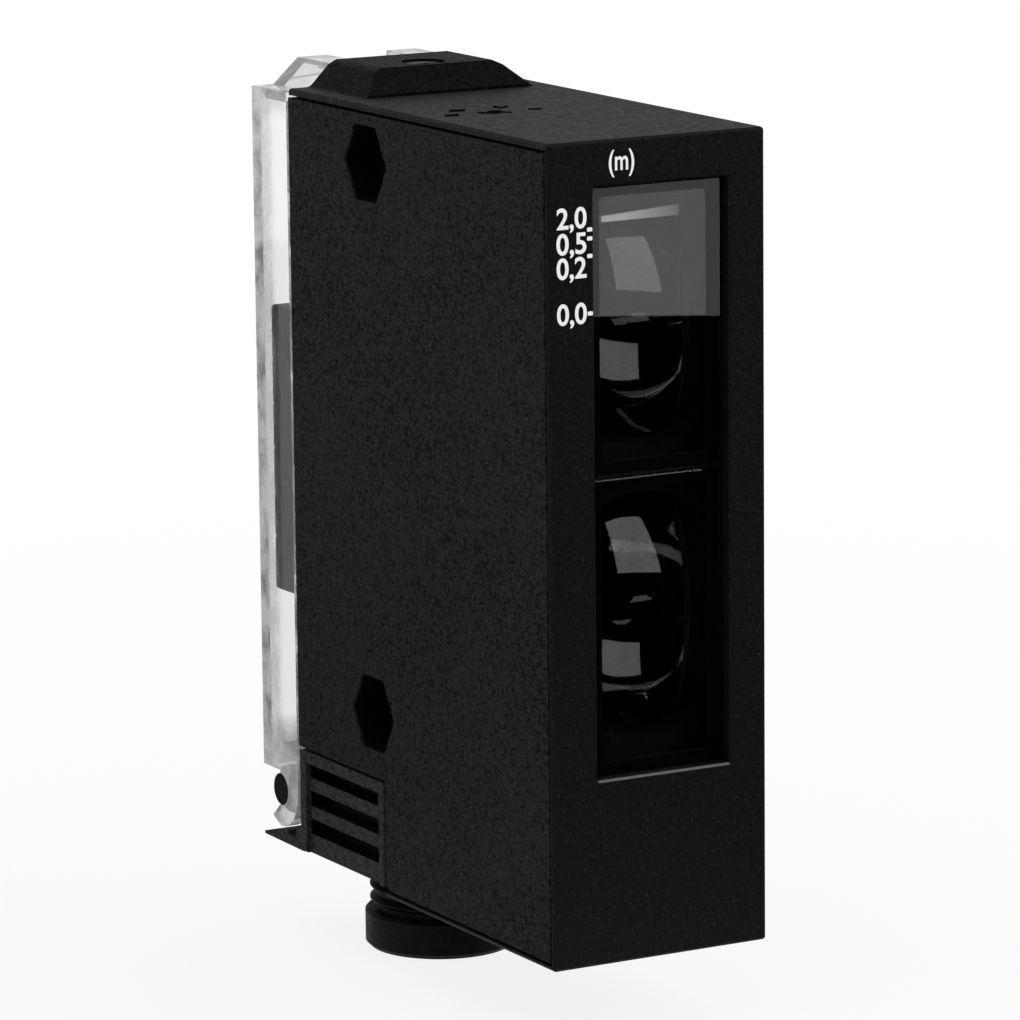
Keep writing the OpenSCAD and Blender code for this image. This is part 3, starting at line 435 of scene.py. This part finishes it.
class SENSOR_OT_housing(SensorOperator, bpy.types.Operator):
    """Finish the moulded housing, its side cover, entry block and top cap"""

    bl_idname = "sensor.housing"
    bl_label = "Housing"

    def execute(self, context):
        sizes, colours = settings(context)
        grain, depth = sizes.grain, sizes.grain_depth
        cap_colour = rgb(colours.body, 0.6)[:3]
        # Almost black colour of the painted shade in the nut pockets and between the ribs
        painted_shade_colour = rgb(colours.inner, 0.3)[:3]
        body = moulded("eroded_black", colours.body, 0.6, grain, depth, specular=0.1, speckle=0.35,
                       specks=2.0)
        side = moulded("side_black", colours.side, 0.65, grain, depth, specular=0.06, speckle=0.45,
                       specks=1.5, pits=1.0)
        cap = moulded("cap_black", cap_colour, 0.6, grain, depth, specular=0.04, speckle=0.7,
                      specks=3.0, pits=1.0)
        ribs = moulded("rib_black", colours.ribs, 0.6, grain, depth, specular=0.06, specks=1.0, pits=0.5)
        pin = moulded("pin_black", colours.body, 0.55, grain, depth / 4, specular=0.08)
        for node, finish in (("housing", body), ("side_cover", side), ("entry_block", ribs),
                             ("top_cap", cap)):
            give(node, finish)
            soften(node, sizes.edge)
        give("hinge_pin", pin)
        # Painted highlight: a light grey line along the bevel under the window
        self.paint_lip_highlight(body)
        # Painted shade in the nut pockets and in the slots between the ribs
        self.paint_pocket_shade(side, painted_shade_colour)
        self.paint_slot_shade(ribs, painted_shade_colour)
        return {"FINISHED"}

    def paint_lip_highlight(self, material):
        """Paints a highlight on the bevel under the window: a light grey line where its edge catches the
        light.
        """
        tree = material.node_tree
        x, y, z = axes(tree)
        middle = at(0.5, 0, 19.6)
        off_z = math_node(tree, "ABSOLUTE", math_node(tree, "SUBTRACT", z, middle.z))
        off_x = math_node(tree, "ABSOLUTE", math_node(tree, "SUBTRACT", x, middle.x))
        tall = spread(tree, off_z, 1.0, 0.0, 0.1 * MM, 0.14 * MM)
        deep = spread(tree, y, 1.0, 0.0, middle.y + 0.2 * MM, middle.y + 0.3 * MM)
        wide = spread(tree, off_x, 1.0, 0.0, 7.8 * MM, 8 * MM)
        # Light grey of the painted highlight
        retone(material, joined(tree, "MULTIPLY", tall, deep, wide), (0.12, 0.12, 0.12))

    def paint_pocket_shade(self, material, colour):
        """Paints shade on the walls of the nut pockets: their colour turns almost black past the side
        face, where little light reaches.
        """
        tree = material.node_tree
        x = axes(tree)["X"]
        inside = spread(tree, x, 0.0, 1.0, BODY_LOW.x + 0.2 * MM, BODY_LOW.x + 0.4 * MM)
        retone(material, inside, colour)

    def paint_slot_shade(self, material, colour):
        """Paints the same shade in the slots between the ribs of the entry block."""
        low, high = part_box("entry_block")
        tree = material.node_tree
        x, y, z = axes(tree)
        across = math_node(tree, "ABSOLUTE", x)
        inside = spread(tree, across, 1.0, 0.0, high.x - 0.7 * MM, high.x - 0.6 * MM)
        above = spread(tree, z, 0.0, 1.0, low.z + 0.2 * MM, low.z + 0.4 * MM)
        before = spread(tree, y, 1.0, 0.0, 16.2 * MM, 16.4 * MM)
        # Painted shade: almost black inside the slots
        retone(material, joined(tree, "MULTIPLY", inside, above, before), colour)


class SENSOR_OT_windows(SensorOperator, bpy.types.Operator):
    """Make the two panes glass with a black rim printed round their clear areas"""

    bl_idname = "sensor.windows"
    bl_label = "Windows"

    margin: size("Margin", "Bare glass round the print", 0.1 * MM)
    cover: size("Cover", "Glass behind the print", 0.05 * MM)
    film: size("Film", "Thickness of the print", 0.02 * MM)

    def execute(self, context):
        sizes, colours = settings(context)
        glass = clear_finish("pane_glass", (0.99, 0.99, 0.99), 0.0, 1.5, 0)
        black = print_finish("rim_print", colours.inner, 0.6, specular=0.0)
        turn = Matrix.Rotation(math.radians(90), 4, "X")
        for node in ("upper_window", "lower_window"):
            give(node, glass)
            low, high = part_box(node)
            middle = Vector(((low.x + high.x) / 2, high.y - self.cover, (low.z + high.z) / 2))
            spans = ((high.x - low.x) / 2 - self.margin, (high.z - low.z) / 2 - self.margin)
            rim = bmesh.new()
            matrix = Matrix.Translation(middle) @ turn @ Matrix.Diagonal((*spans, 1, 1))
            bmesh.ops.create_grid(rim, x_segments=1, y_segments=1, size=1, matrix=matrix)
            sides = bmesh.ops.inset_region(rim, faces=rim.faces[:], thickness=sizes.rim_end,
                                           use_boundary=True, use_even_offset=True)["faces"]
            if len(sides) != 4:
                raise RuntimeError("the rim has no four sides: " + node)
            clear = next(f for f in rim.faces if f not in sides)
            corners = clear.verts[:]
            for v in corners:
                v.co.x = middle.x + math.copysign(spans[0] - sizes.rim_side, v.co.x - middle.x)
            bmesh.ops.delete(rim, geom=[clear], context="FACES_ONLY")
            bevel(rim, corners, sizes.rim_round, "VERTICES", 6)
            bmesh.ops.solidify(rim, geom=rim.faces[:], thickness=self.film)
            piece(node + "_rim", rim, "base", black)
        return {"FINISHED"}


# A lens face that slopes more than this, as the Y of its normal, is part of the painted edge
EDGE_SLOPE = 0.5


class SENSOR_OT_lenses(SensorOperator, bpy.types.Operator):
    """Turn the two biconvex lenses, cut their straight sides and blacken their edges"""

    bl_idname = "sensor.lenses"
    bl_label = "Lenses"

    arc_steps: IntProperty(name="Arc steps", description="Points along the lens profile",
                           default=40, min=8)
    turn_steps: IntProperty(name="Turn steps", description="Steps round the lens", default=144, min=24)

    def arc(self, apex, radius, half):
        """Points from a spherical face's apex up to its edge; a negative radius bulges backwards."""
        reach = math.asin(half / abs(radius))
        steps = (reach * i / self.arc_steps for i in range(self.arc_steps + 1))
        return [apex + Vector((0, radius * (1 - math.cos(a)), abs(radius) * math.sin(a))) for a in steps]

    def execute(self, context):
        sizes, colours = settings(context)
        glass = clear_finish("lens_glass", (0.99, 0.99, 0.99), 0.0, 1.52, 0)
        black = print_finish("edge_paint", colours.inner, 0.7)
        for node in ("receiver_lens", "emitter_lens"):
            low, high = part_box(node)
            middle = (low + high) / 2
            half = (high.z - low.z) / 2
            tip = Vector((middle.x, low.y, middle.z))
            heel = Vector((middle.x, high.y, middle.z))
            bm = bmesh.new()
            dome = self.arc(heel, -sizes.lens_rear, sizes.lens_rear_half)[::-1]
            rim = Vector((middle.x, dome[0].y, middle.z + half))
            points = self.arc(tip, sizes.lens_front, half) + [rim] + dome
            verts = [bm.verts.new(p) for p in points]
            edges = [bm.edges.new(pair) for pair in zip(verts, verts[1:])]
            bmesh.ops.spin(bm, geom=verts + edges, cent=tip, axis=(0, 1, 0), angle=2 * math.pi,
                           steps=self.turn_steps, use_merge=True)
            bmesh.ops.remove_doubles(bm, verts=bm.verts, dist=0.001 * MM)
            for side, x in ((-1, low.x), (1, high.x)):
                geom = bm.verts[:] + bm.edges[:] + bm.faces[:]
                cut = bmesh.ops.bisect_plane(bm, geom=geom, plane_co=(x, 0, 0), plane_no=(side, 0, 0),
                                             clear_outer=True)["geom_cut"]
                rims = [e for e in cut if isinstance(e, bmesh.types.BMEdge)]
                bmesh.ops.holes_fill(bm, edges=rims, sides=0)
            bmesh.ops.recalc_face_normals(bm, faces=bm.faces)
            if bm.calc_volume(signed=True) < 0:
                bmesh.ops.reverse_faces(bm, faces=bm.faces)
            for face in bm.faces:
                face.material_index = int(abs(face.normal.y) < EDGE_SLOPE)
            obj = piece(node + "_turned", bm, "base", glass, sharp=25)
            obj.data.materials.append(black)
            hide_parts(node)
        return {"FINISHED"}


def lettering(name, text, low, high, face, material, weight):
    """Printed text on the front face that fills the span from low to high, X and Z in millimetres."""
    curve = bpy.data.curves.new(name, "FONT")
    curve.body = text
    curve.resolution_u = 6
    curve.offset = weight
    curve.extrude = 0.5
    source = bpy.data.objects.new(name, curve)
    bpy.context.scene.collection.objects.link(source)
    graph = bpy.context.evaluated_depsgraph_get()
    mesh = bpy.data.meshes.new_from_object(source.evaluated_get(graph))
    bpy.data.objects.remove(source)
    bpy.data.curves.remove(curve)
    bm = bmesh.new()
    bm.from_mesh(mesh)
    bpy.data.meshes.remove(mesh)
    bmesh.ops.remove_doubles(bm, verts=bm.verts, dist=1e-4)
    xs = [v.co.x for v in bm.verts]
    ys = [v.co.y for v in bm.verts]
    start = Vector((min(xs), min(ys), 0))
    spans = Vector((max(xs) - min(xs), max(ys) - min(ys), 1))
    corner = at(low[0], 0, low[1])
    reach = at(high[0], 0, high[1]) - corner
    for v in bm.verts:
        share = v.co - start
        v.co = corner + Vector((share.x / spans.x * reach.x, -share.z * face,
                                share.y / spans.y * reach.z))
    bmesh.ops.recalc_face_normals(bm, faces=bm.faces)
    return piece(name, bm, "base", material)


class SENSOR_OT_scale(SensorOperator, bpy.types.Operator):
    """Print the distance scale beside the upper pane"""

    bl_idname = "sensor.scale"
    bl_label = "Scale"

    # Each value with its left, bottom and top in millimetres, the width of them all, the unit's
    # lower left and upper right corner, and the marks' X and heights
    VALUES = (("2,0", -11.85, 77.0, 79.6), ("0,5", -11.9, 74.4, 77.0), ("0,2", -11.9, 71.9, 74.5),
              ("0,0", -11.9, 67.2, 69.8))
    VALUE_WIDTH = 3.5
    UNIT = ((-5.7, 82.3), (-2.7, 85.1))
    TICK_X = -8.0
    TICKS_Z = (77.19, 76.27, 74.48, 68.58)
    VALUE_WEIGHT = 0.02
    UNIT_WEIGHT = 0.016

    def execute(self, context):
        sizes, colours = settings(context)
        film = sizes.print_height
        ink = print_finish("white_ink", colours.ink)
        for number, (text, x, low, high) in enumerate(self.VALUES, 1):
            lettering(f"scale_value_{number}", text, (x, low), (x + self.VALUE_WIDTH, high), film, ink,
                      self.VALUE_WEIGHT)
        lettering("scale_unit", "(m)", *self.UNIT, film, ink, self.UNIT_WEIGHT)
        ticks = bmesh.new()
        for z in self.TICKS_Z:
            middle = at(self.TICK_X, 0, z) - Vector((0, film / 4, 0))
            matrix = Matrix.Translation(middle) @ Matrix.Diagonal(
                (sizes.tick_width, film * 1.5, sizes.tick_height, 1))
            bmesh.ops.create_cube(ticks, size=1, matrix=matrix)
        inward = [e for e in ticks.edges if abs(e.verts[0].co.y - e.verts[1].co.y) > film]
        bevel(ticks, inward, 0.1 * MM, "EDGES")
        piece("scale_ticks", ticks, "base", ink)
        return {"FINISHED"}


class SENSOR_OT_marks(SensorOperator, bpy.types.Operator):
    """Print the setting marks in front of the adjuster block"""

    bl_idname = "sensor.marks"
    bl_label = "Top marks"

    # Each mark's outline, X and the distance behind the front face in millimetres
    OUTLINES = (
        ((-8.4, 28.6), (-6.7, 28.1), (-5.7, 29.9), (-7.4, 30.3)),
        ((-10.7, 25.4), (-9.2, 25.0), (-8.0, 27.0), (-9.9, 26.8)),
        ((-6.4, 26.2), (-5.9, 25.0), (-5.0, 24.2), (-3.9, 25.1), (-3.3, 24.2), (-2.6, 25.4),
         (-3.4, 26.0), (-3.0, 27.0), (-4.3, 27.5), (-5.1, 26.3), (-5.8, 27.1)),
        ((-2.7, 29.4), (-2.5, 28.0), (-1.1, 28.8), (-0.3, 30.2), (-1.6, 29.5), (-1.7, 30.9)),
        ((-0.6, 25.5), (0.8, 25.0), (1.6, 26.3), (0.0, 26.5)),
    )

    def execute(self, context):
        sizes, colours = settings(context)
        ink = print_finish("dark_ink", colours.marks, 0.9, specular=0.0)
        bm = bmesh.new()
        for outline in self.OUTLINES:
            bm.faces.new([bm.verts.new((x * MM, BODY_LOW.y + y * MM, BODY_HIGH.z)) for x, y in outline])
        bevel(bm, bm.verts[:], sizes.mark_round, "VERTICES")
        lid = bmesh.ops.extrude_face_region(bm, geom=bm.faces[:])["geom"]
        tops = [v for v in lid if isinstance(v, bmesh.types.BMVert)]
        bmesh.ops.translate(bm, verts=tops, vec=(0, 0, sizes.print_height))
        bmesh.ops.recalc_face_normals(bm, faces=bm.faces)
        piece("top_marks", bm, "base", ink)
        return {"FINISHED"}


class SENSOR_OT_inside(SensorOperator, bpy.types.Operator):
    """Finish the optics chassis, the carriage, the boards and what sits on them"""

    bl_idname = "sensor.inside"
    bl_label = "Inside"

    def execute(self, context):
        sizes, colours = settings(context)
        grain, depth = sizes.grain, sizes.grain_depth
        smooth = 0.002 * MM
        turned = (0.2, 0.2, 3)
        finishes = (
            (moulded("inner_black", colours.inner, 0.85, grain, depth, specular=0.1),
             ("optics_carrier", "adjusting_carriage")),
            (metal_finish("zinc_plate", (0.62, 0.63, 0.65), 0.3, 0.15 * MM),
             ("carrier_screws", "board_screws", "guide_rod", "spindle_clip", "gland_washer",
              "terminal_screws")),
            (metal_finish("turned_brass", (0.72, 0.55, 0.27), 0.25, 0.1 * MM, turned),
             ("spindle_bush", "terminal_clamps")),
            (metal_finish("blackened_steel", (0.03, 0.03, 0.03), 0.5, 0.1 * MM, turned),
             ("range_spindle",)),
            (board_finish("solder_mask", colours.board), ("main_board", "emitter_board")),
            (moulded("chip_epoxy", (0.02, 0.02, 0.022), 0.45, grain / 2, depth / 2),
             ("receiver_diode", "control_chips")),
            (moulded("seal_black", (0.015, 0.015, 0.015), 0.7, grain, depth),
             ("spindle_seal", "gland_seal")),
            (self.pointer_with_painted_shade(), ("range_pointer",)),
            (moulded("relay_case", (0.6, 0.6, 0.57), 0.4, grain, depth / 3, speckle=0.05),
             ("output_relay",)),
            (moulded("capacitor_sleeve", (0.03, 0.045, 0.11), 0.3, grain, smooth, speckle=0.1),
             ("filter_capacitors",)),
            (moulded("film_lead", (0.6, 0.42, 0.18), 0.3, grain, smooth, speckle=0.1),
             ("emitter_ribbon",)),
            (clear_finish("tinted_epoxy", (0.3, 0.34, 0.5), 0.02, 1.5, 0), ("emitter_led",)),
        )
        for finish, nodes in finishes:
            for node in nodes:
                give(node, finish)
        return {"FINISHED"}

    def pointer_with_painted_shade(self):
        """White paint with painted shade that darkens it towards its right end."""
        material = print_finish("pointer_paint_and_shade", (0.82, 0.82, 0.82))
        tree = material.node_tree
        low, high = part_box("range_pointer")
        # Painted shade: the white turns dark grey towards the right end, which lies in shade behind the
        # window
        shade_share = spread(tree, axes(tree)["X"], 0.0, 0.85, low.x + 2.5 * MM, high.x)
        retone(material, shade_share, (0.08, 0.08, 0.08))
        return material


class SENSOR_OT_terminals(SensorOperator, bpy.types.Operator):
    """Finish the terminal block and the status lights"""

    bl_idname = "sensor.terminals"
    bl_label = "Terminals"

    def execute(self, context):
        sizes, colours = settings(context)
        give("terminal_block", moulded("terminal_grey", colours.terminals, 0.6, sizes.grain,
                                       sizes.grain_depth / 4, specular=0.1))
        give("status_lights", clear_finish("light_lens", (0.9, 0.86, 0.6), 0.12, 1.5, 0))
        return {"FINISHED"}


class SENSOR_OT_cover(SensorOperator, bpy.types.Operator):
    """Make the hinged rear cover clear"""

    bl_idname = "sensor.cover"
    bl_label = "Clear cover"

    edge: size("Edge softening", "Round on the cover's edges", 0.08 * MM)
    wave: size("Wave", "Height of the moulding's flow lines", 0.004 * MM)

    def execute(self, context):
        colours = settings(context)[1]
        clear = clear_finish("clear_plastic", colours.clear, 0.04, 1.5, self.wave, self.haze)
        give("clear_cover", clear)
        soften("clear_cover", self.edge)
        return {"FINISHED"}

    def haze(self, tree, place):
        """Milky share of the cover: most at the rear of its sides, less in its hooks and its hood."""
        low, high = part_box("clear_cover")
        x, y, z = axes(tree)
        rear = spread(tree, y, 0.0, 1.0, high.y - 4.2 * MM, high.y - 3.2 * MM)
        across = math_node(tree, "ABSOLUTE", x)
        side = spread(tree, across, 0.0, 0.9, high.x - 1.4 * MM, high.x - 1.0 * MM)
        corner = math_node(tree, "MULTIPLY", rear, side)
        hood = spread(tree, z, 0.0, 0.2, BODY_HIGH.z - 4 * MM, BODY_HIGH.z - 2 * MM)
        hooks = spread(tree, z, 0.6, 0.0, low.z + 9 * MM, low.z + 12 * MM)
        streaks = noise(tree, place, 1.4 * MM, detail=4.0, rough=0.65)
        cloud = spread(tree, streaks, 0.35, 1.0, 0.35, 0.6)
        return math_node(tree, "MULTIPLY", joined(tree, "MAXIMUM", corner, hood, hooks), cloud)


class SENSOR_OT_gland(SensorOperator, bpy.types.Operator):
    """Finish the cable gland"""

    bl_idname = "sensor.gland"
    bl_label = "Cable gland"

    def execute(self, context):
        sizes, colours = settings(context)
        dark = rgb(colours.body, 0.6)[:3]
        give("gland_screw", moulded("gland_black", dark, 0.55, sizes.grain, sizes.grain_depth / 3,
                                    specular=0.08))
        return {"FINISHED"}


# Stage: the camera's place is in degrees and metres, its shift in pixels of the 1020 px frame

CAMERA_AZIMUTH = -29.42
CAMERA_ELEVATION = 10.87
CAMERA_ROLL = -0.58
CAMERA_DISTANCE = 646.5 * MM
CAMERA_FOCAL_PX = 6035.4
FRAME_PX = 1020
SENSOR_MM = 36
SHIFT_PX = (10.6, 2.7)


def heading(azimuth, elevation):
    """Unit vector from the object towards a place at that azimuth and elevation, in degrees."""
    a = math.radians(azimuth)
    e = math.radians(elevation)
    return Vector((math.sin(a) * math.cos(e), -math.cos(a) * math.cos(e), math.sin(e)))


CAMERA_AIM = at(0, 29, 43)
LAMP_AIM = at(0, 20, 50)


def make_camera(context):
    """Sets the camera where the photograph was taken from."""
    data = bpy.data.cameras.new("camera")
    camera = bpy.data.objects.new("camera", data)
    context.scene.collection.objects.link(camera)
    back = heading(CAMERA_AZIMUTH, CAMERA_ELEVATION)
    level = Vector((math.cos(math.radians(CAMERA_AZIMUTH)), math.sin(math.radians(CAMERA_AZIMUTH)), 0))
    rise = back.cross(level)
    c = math.cos(math.radians(CAMERA_ROLL))
    s = math.sin(math.radians(CAMERA_ROLL))
    right = c * level + s * rise
    up = -s * level + c * rise
    spot = Matrix.Translation(CAMERA_AIM + back * CAMERA_DISTANCE)
    camera.matrix_world = spot @ Matrix((right, up, back)).transposed().to_4x4()
    data.sensor_width = SENSOR_MM
    data.lens = CAMERA_FOCAL_PX / FRAME_PX * SENSOR_MM
    data.shift_x = -SHIFT_PX[0] / FRAME_PX
    data.shift_y = -SHIFT_PX[1] / FRAME_PX
    data.clip_start = 0.01
    data.clip_end = 20
    context.scene.camera = camera


def area_lamp(context, name, towards, distance, wide, tall, radiance, turn=0.0):
    """Rectangular softbox that faces the object; radiance is how bright its face looks."""
    data = bpy.data.lights.new(name, "AREA")
    data.shape = "RECTANGLE"
    data.size = wide
    data.size_y = tall
    data.energy = radiance * math.pi * wide * tall
    lamp = bpy.data.objects.new(name, data)
    lamp.visible_camera = False
    context.scene.collection.objects.link(lamp)
    facing = towards.to_track_quat("Z", "Y").to_matrix().to_4x4()
    roll = Matrix.Rotation(math.radians(turn), 4, "Z")
    lamp.matrix_world = Matrix.Translation(LAMP_AIM + towards * distance) @ facing @ roll


def any_ray(tree, *kinds):
    """1 for rays of the kinds given, such as Camera, and 0 for all others."""
    path = tree.nodes.new("ShaderNodeLightPath")
    return joined(tree, "MAXIMUM", *(path.outputs[f"Is {kind} Ray"] for kind in kinds))


def glow_of(tree, strength=1.0):
    """Even white light."""
    glow = tree.nodes.new("ShaderNodeEmission")
    plain(glow, Color=(1, 1, 1, 1), Strength=strength)
    return glow.outputs["Emission"]


def stage_flat(context, name, matrix, half_wide, half_tall, material):
    """A flat rectangle of the stage, which is no part of the object."""
    bm = bmesh.new()
    bmesh.ops.create_grid(bm, x_segments=1, y_segments=1, size=1,
                          matrix=matrix @ Matrix.Diagonal((half_wide, half_tall, 1, 1)))
    mesh = bpy.data.meshes.new(name)
    bm.to_mesh(mesh)
    bm.free()
    flat = bpy.data.objects.new(name, mesh)
    context.scene.collection.objects.link(flat)
    mesh.materials.append(material)
    return flat


class SENSOR_OT_stage(SensorOperator, bpy.types.Operator):
    """Set the pale floor, the backdrop, the lamps and the camera"""

    bl_idname = "sensor.stage"
    bl_label = "Stage"

    ambient: FloatProperty(name="Ambient", description="Level of the light from all round",
                           default=0.68, min=0)
    mirrored: FloatProperty(name="Mirrored", description="Level of the backdrop in reflections",
                            default=0.8, min=0)
    floor_span: FloatProperty(name="Floor", description="Side of the floor", default=6.0, unit="LENGTH")

    def execute(self, context):
        make_camera(context)
        scene = context.scene
        scene.view_settings.view_transform = "Standard"
        scene.world = self.backdrop()
        half = self.floor_span / 2
        below = Matrix.Translation((0, 0, FLOOR_Z - 0.02 * MM))
        stage_flat(context, "floor", below, half, half, self.floor_finish())
        area_lamp(context, "front_softbox", heading(46, 18), 0.6, 0.6, 0.3, 2.0, -12)
        area_lamp(context, "top_softbox", heading(20, 80), 0.7, 0.9, 0.9, 0.6)
        self.cards(context)
        return {"FINISHED"}

    def backdrop(self):
        """World that is white to look at, paler in reflections and a soft light on the object."""
        world = bpy.data.worlds.new("backdrop")
        tree, surface = new_tree(world, "ShaderNodeOutputWorld")
        light = tree.nodes.new("ShaderNodeBackground")
        plain(light, Color=(1, 1, 1, 1))
        shown = any_ray(tree, "Camera", "Transmission")
        mirrored = spread(tree, any_ray(tree, "Glossy"), self.ambient, self.mirrored)
        tree.links.new(math_node(tree, "MAXIMUM", shown, mirrored), light.inputs["Strength"])
        tree.links.new(light.outputs["Background"], surface)
        return world

    def floor_finish(self):
        """Pale paint that keeps the object's shadow and turns white away from it."""
        material = bpy.data.materials.new("pale_floor")
        tree, surface = new_tree(material)
        paint = tree.nodes.new("ShaderNodeBsdfDiffuse")
        plain(paint, Color=rgb((0.9, 0.9, 0.9)))
        away = tree.nodes.new("ShaderNodeVectorMath")
        away.operation = "LENGTH"
        tree.links.new(object_place(tree), away.inputs[0])
        share = spread(tree, away.outputs["Value"], 0.85, 1.0, 0.1, 0.3)
        shown = math_node(tree, "MULTIPLY", any_ray(tree, "Camera", "Glossy", "Transmission"), share)
        blend_shaders(tree, shown, paint.outputs["BSDF"], glow_of(tree), surface)
        return material

    def cards(self, context):
        """Cards for reflections and rays through glass: dark before and behind, and a light patch."""
        finishes = {}
        for name, level in (("dark_card", 0.0), ("light_card", 1.0)):
            material = bpy.data.materials.new(name)
            tree, surface = new_tree(material)
            tree.links.new(glow_of(tree, level), surface)
            material.cycles.emission_sampling = "NONE"
            finishes[name] = material
        # Distances are in metres from the foot of the front face, or of the cover's left edge,
        # along the line in which the camera's view is mirrored there
        foot = Vector((0, BODY_LOW.y, FLOOR_Z + 0.5 * MM))
        before = Matrix.Translation(foot) @ Matrix.Rotation(math.radians(29.3), 4, "Z")
        upright = Matrix.Rotation(math.radians(90), 4, "X")
        beside = Vector((BODY_LOW.x, BODY_HIGH.y + 4 * MM, FLOOR_Z + 0.5 * MM))
        behind = Matrix.Translation(beside) @ Matrix.Rotation(math.radians(27.1), 4, "Z")
        moved = Matrix.Translation
        flats = (
            ("floor_card", before @ moved((0, -1.015, 0)), 1.2, 0.985, "dark_card"),
            ("front_card", before @ moved((0, -2.0, 1.5)) @ upright, 2.4, 1.5, "dark_card"),
            ("pane_patch", before @ moved((0.015, -0.7, 0.0002)), 0.06, 0.225, "light_card"),
            ("rear_card", behind @ moved((0, 0.28, 0)), 0.035, 0.25, "dark_card"),
        )
        for name, matrix, half_wide, half_tall, finish in flats:
            card = stage_flat(context, name, matrix, half_wide, half_tall, finishes[finish])
            card.visible_camera = False
            card.visible_diffuse = False
            card.visible_shadow = False
            card.visible_transmission = name != "rear_card"


OPERATORS = (SENSOR_OT_housing, SENSOR_OT_windows, SENSOR_OT_lenses, SENSOR_OT_scale, SENSOR_OT_marks,
             SENSOR_OT_inside, SENSOR_OT_terminals, SENSOR_OT_cover, SENSOR_OT_gland, SENSOR_OT_stage)


class SENSOR_PT_panel(bpy.types.Panel):
    """Lists the sensor's operators and settings."""

    bl_idname = "SENSOR_PT_panel"
    bl_label = "Light Sensor"
    bl_space_type = "VIEW_3D"
    bl_region_type = "UI"
    bl_category = "Sensor"

    def draw(self, context):
        layout = self.layout
        for operator in OPERATORS:
            layout.operator(operator.bl_idname)
        for group in settings(context):
            box = layout.box()
            for key in group.__annotations__:
                box.prop(group, key)


CLASSES = (SensorSizes, SensorColours, *OPERATORS, SENSOR_PT_panel)


def register():
    for cls in CLASSES:
        bpy.utils.register_class(cls)
    bpy.types.Scene.sensor_sizes = PointerProperty(type=SensorSizes)
    bpy.types.Scene.sensor_colours = PointerProperty(type=SensorColours)


def unregister():
    del bpy.types.Scene.sensor_colours
    del bpy.types.Scene.sensor_sizes
    for cls in reversed(CLASSES):
        bpy.utils.unregister_class(cls)


def main():
    register()
    for operator in OPERATORS:
        group, name = operator.bl_idname.split(".")
        getattr(getattr(bpy.ops, group), name)()


if __name__ == "__main__":
    main()
